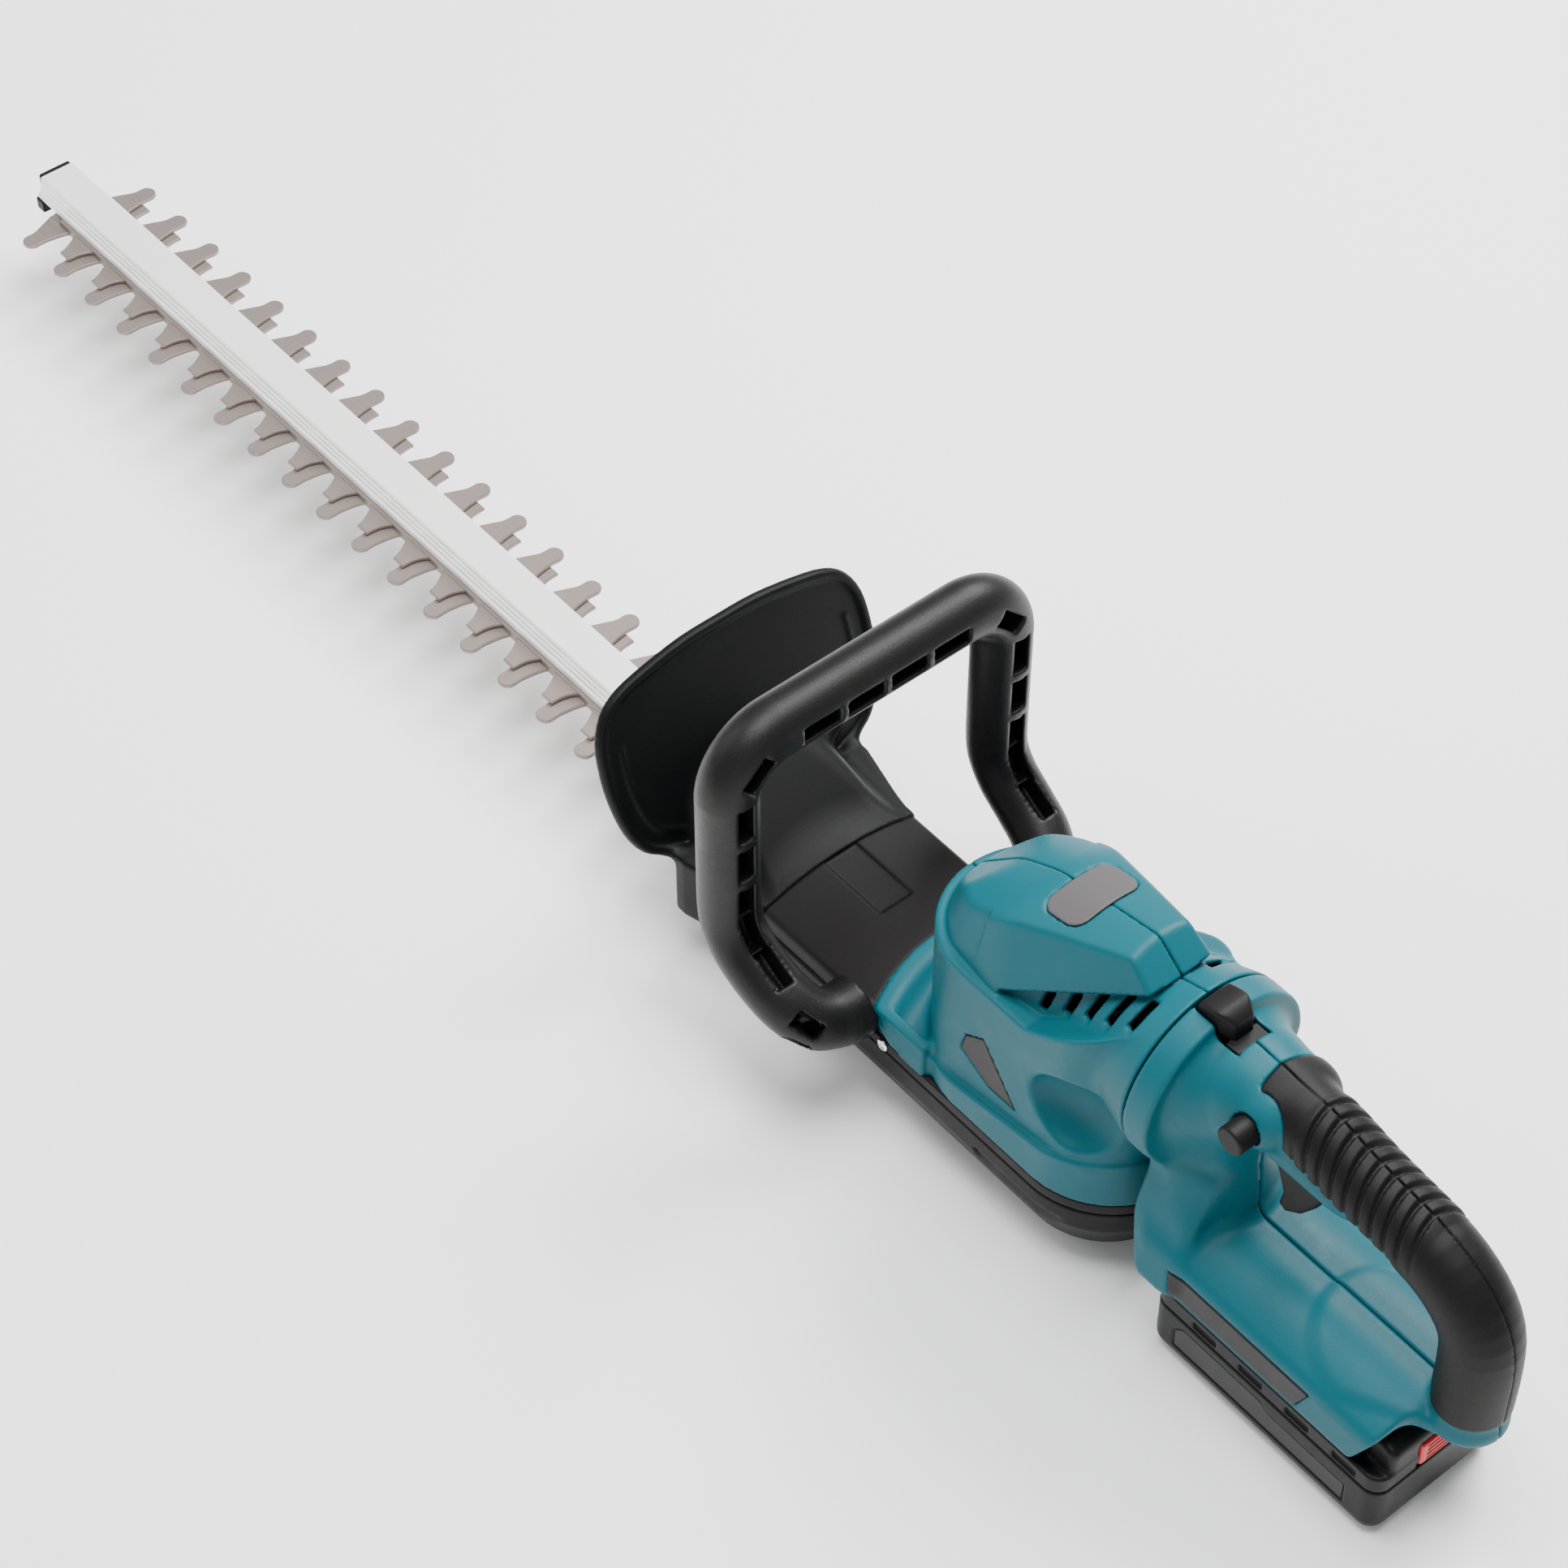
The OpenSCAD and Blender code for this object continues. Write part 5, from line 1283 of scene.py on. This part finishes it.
def parts() -> tuple[Part, ...]:
    """Every sculpted piece of the tool."""
    housing, neck, handle, pack, buttons = Housing(), Neck(), RearHandle(), BatteryPack(), Buttons()

    def part(name: str, field: Field, low: Point, high: Point, step: float, body: Body, slot: str, *nodes: str) -> Part:
        return Part(Sculpt(name, field, tuple(low), tuple(high), step), body, nodes, slot)

    main, rear = Body.MAIN, Body.HANDLE
    return (
        part("housing_shell_left", housing.field(1), (-351, -1, 49), (-162, 48, 189), 1.15, main, "teal_plastic", "housing_left"),
        part("housing_shell_right", housing.field(-1), (-351, -48, 49), (-162, 1, 189), 1.15, main, "teal_plastic", "housing_right"),
        part("hood_badge", badge, (-295, -20, 170), (-269, 20, 190), 0.7, main, "grey_badge", "badge_plate"),
        part("side_badges", side_plates, (-291, -48, 76), (-252, 48, 108), 0.7, main, "label_black", "side_plates"),
        part("gear_cover_shell", neck.cover, (-216, -47, 49), (-123, 47, 70), 1.0, main, "black_plastic", "gear_cover", "cover_panel"),
        part("gear_case_shell", neck.case, (-350, -47, 42), (-123, 47, 61), 1.2, main, "black_plastic", "gear_case"),
        part("base_shell", neck.base, (-350, -47, 11), (-123, 47, 44), 1.2, main, "black_plastic", "base_cover"),
        part("guard_shell", Guard().field, (-126, -79, 0), (-36, 79, 157), 1.15, main, "guard_plastic", "hand_guard"),
        part("loop_shell", LoopHandle().field, (-206, -92, 43), (-126, 92, 215), 1.3, main, "handle_plastic", "front_handle"),
        part("handle_shell_left", handle.field(1), (-530, -1, 40), (-349, 46, 183), 1.2, rear, "teal_plastic", "rear_handle_left"),
        part("handle_shell_right", handle.field(-1), (-530, -46, 40), (-349, 1, 183), 1.2, rear, "teal_plastic", "rear_handle_right"),
        part("grip_sleeve", handle.rubber_field, (-530, -19, 78), (-390, 19, 178), 0.85, rear, "grip_rubber", "grip_rubber"),
        part("tray_badges", tray_plates, (-464, -41, 44), (-379, 41, 62), 0.8, rear, "label_black", "tray_plates"),
        part("trigger_shape", buttons.trigger, (-433, -11, 106), (-395, 11, 151), 0.8, Body.TRIGGER, "black_plastic", "trigger"),
        part("lock_off_shape", buttons.lock_off, (-404, 2, 150), (-390, 33, 164), 0.6, Body.LOCK_OFF, "button_plastic", "lock_off_button"),
        part("swivel_lock_shape", buttons.swivel_lock, (-378, -10, 164), (-351, 10, 188), 0.6, Body.SWIVEL_LOCK, "button_plastic", "rotation_lock"),
        part("battery_shell", pack.case, (-504, -38, 0), (-371, 38, 31), 1.0, Body.BATTERY, "battery_plastic", "battery_case"),
        part("battery_top", pack.lid, (-504, -38, 29), (-371, 38, 57), 1.0, Body.BATTERY, "battery_plastic", "battery_lid"),
        part("battery_badges", pack.plates, (-487, -38, 9), (-385, 38, 26), 0.7, Body.BATTERY, "battery_label", "battery_plates"),
        part("latch_shape", pack.latch, (-505, -15, 33), (-493, 15, 48), 0.6, Body.CATCH, "latch_red", "battery_latch"),
        part("rail_plug", end_cap, (510, -10, 32), (530, 15, 54), 0.6, main, "black_plastic", "rail_end_cap"),
    )


@dataclass(frozen=True)
class Spring:
    """A coil spring, its control's joint, axis and share of length, and the point that it stands on; only the node and
    body are read.
    """

    node: str
    joint: str
    body: Body
    axis: Point
    seat: Point
    keep: float


SPRINGS = (
    Spring("trigger_spring", "trigger_pull", Body.HANDLE, (0, 0, 1), (-424, 0, 158.4), 0.58),
    Spring("lock_off_spring", "lock_off_press", Body.HANDLE, (0, 1, 0), (-397, -12.7, 157), 0.68),
    Spring("rotation_lock_spring", "swivel_lock_slide", Body.HANDLE, (1, 0, 0), (-380.2, 0, 170), 0.45),
    Spring("latch_spring", "battery_latch_press", Body.BATTERY, (0, 0, 1), (-499, 0, 30.1), 0.65),
)


class Trimmer:
    """Puts every piece on the frame."""

    def __init__(self) -> None:
        self.materials = {finish.name: finish.build() for finish in FINISHES}

    def dress_frame(self) -> None:
        """Gives each CAD node its slot's finish."""
        slots = {item["node"]: item["material_slot"] for item in frame["record"]["subparts"]}
        for name, obj in frame["nodes"].items():
            obj.data.materials.clear()
            obj.data.materials.append(self.materials[slots[name]])

    def place(self, obj: bpy.types.Object, body: Body, nodes: Sequence[str], slot: str) -> None:
        """Gives a piece its finish, hangs it on its body and hides the CAD nodes it stands for."""
        obj.data.materials.clear()
        obj.data.materials.append(self.materials[slot])
        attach(obj, body.value)
        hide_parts(*nodes)

    def add_spring(self, spring: Spring) -> None:
        """Copies a coil from its CAD node, merges its doubled points, smooths it and places it on its body."""
        mesh = frame["nodes"][spring.node].data.copy()
        work = bmesh.new()
        work.from_mesh(mesh)
        bmesh.ops.remove_doubles(work, verts=work.verts, dist=1e-6)
        work.to_mesh(mesh)
        work.free()
        mesh.shade_smooth()
        obj = helper(spring.node + "_coil", mesh)
        self.place(obj, spring.body, (spring.node,), "spring_steel")
        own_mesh(obj)

    def build(self) -> None:
        """Makes all pieces."""
        self.dress_frame()
        for spring in SPRINGS:
            self.add_spring(spring)
        for part in parts():
            obj = helper(part.sculpt.name, part.sculpt.mesh())
            self.place(obj, part.body, part.nodes, part.slot)
        for obj, plan in Blades().build(self.materials["blade_steel"]):
            self.place(obj, plan.body, ("upper_blade",) if plan.body is Body.TOP else ("lower_blade",), "blade_steel")
        tree = screw_tree()
        for group in SCREWS:
            obj = group.build(tree, self.materials[group.slot])
            self.place(obj, group.body, (group.node,), group.slot)


# ---------------------------------------------------------------- studio


def add_camera() -> None:
    """Camera behind, above and to the left of the tool."""
    azimuth, elevation, roll = (math.radians(a) for a in (-129.76, 48.0, -0.08))
    back = Vector((math.sin(azimuth) * math.cos(elevation), -math.cos(azimuth) * math.cos(elevation), math.sin(elevation)))
    data = bpy.data.cameras.new("camera")
    data.lens = 90.29
    data.sensor_width = 36.0
    data.clip_end = 50.0
    camera = bpy.data.objects.new("camera", data)
    bpy.context.scene.collection.objects.link(camera)
    turn = back.to_track_quat("Z", "Y").to_matrix().to_4x4() @ Matrix.Rotation(roll, 4, "Z")
    camera.matrix_world = Matrix.Translation(Vector((-1000.9, 761.8, 1402.6)) * MM) @ turn
    bpy.context.scene.camera = camera


def add_area(name: str, at: Point, aim: Point, size: float, power: float, color: Point = (1, 1, 1)) -> None:
    """Adds a square soft light that faces a point."""
    data = bpy.data.lights.new(name, "AREA")
    data.size = size
    data.energy = power
    data.color = color
    light = bpy.data.objects.new(name, data)
    bpy.context.scene.collection.objects.link(light)
    way = Vector(at) - Vector(aim)
    light.matrix_world = Matrix.Translation(Vector(at)) @ way.to_track_quat("Z", "Y").to_matrix().to_4x4()


def add_studio() -> None:
    """Floor, sky and lights."""
    mesh = bpy.data.meshes.new("floor")
    mesh.from_pydata([(-8, -8, -0.001), (8, -8, -0.001), (8, 8, -0.001), (-8, 8, -0.001)], [], [(0, 1, 2, 3)])
    floor = helper("floor", mesh)
    s = Shader("floor_paint")
    s.set("Base Color", s.mix(s.noise(2, 2), (0.95, 0.95, 0.95), (0.97, 0.97, 0.97)))
    s.set("Roughness", 0.9)
    mesh.materials.append(s.material)
    world = bpy.data.worlds.new("sky")
    world.use_nodes = True
    world.node_tree.nodes["Background"].inputs[0].default_value = (1, 1, 1, 1)
    world.node_tree.nodes["Background"].inputs[1].default_value = 0.45
    bpy.context.scene.world = world
    aim = (-0.15, 0, 0.08)
    add_area("key", (0.2, -1.5, 1.9), aim, 1.2, 100)
    add_area("top", (-0.2, 0.1, 2.4), aim, 1.4, 84)
    add_area("fill", (-1.8, 1.4, 0.9), aim, 1.5, 5)
    add_area("rim", (1.4, 1.0, 1.4), aim, 1.2, 16)


def main() -> None:
    """Builds the whole scene."""
    logging.basicConfig(level=logging.INFO, format="%(message)s")
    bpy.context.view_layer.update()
    Trimmer().build()
    add_studio()
    add_camera()
    bpy.context.view_layer.update()


if __name__ == "__main__":
    main()
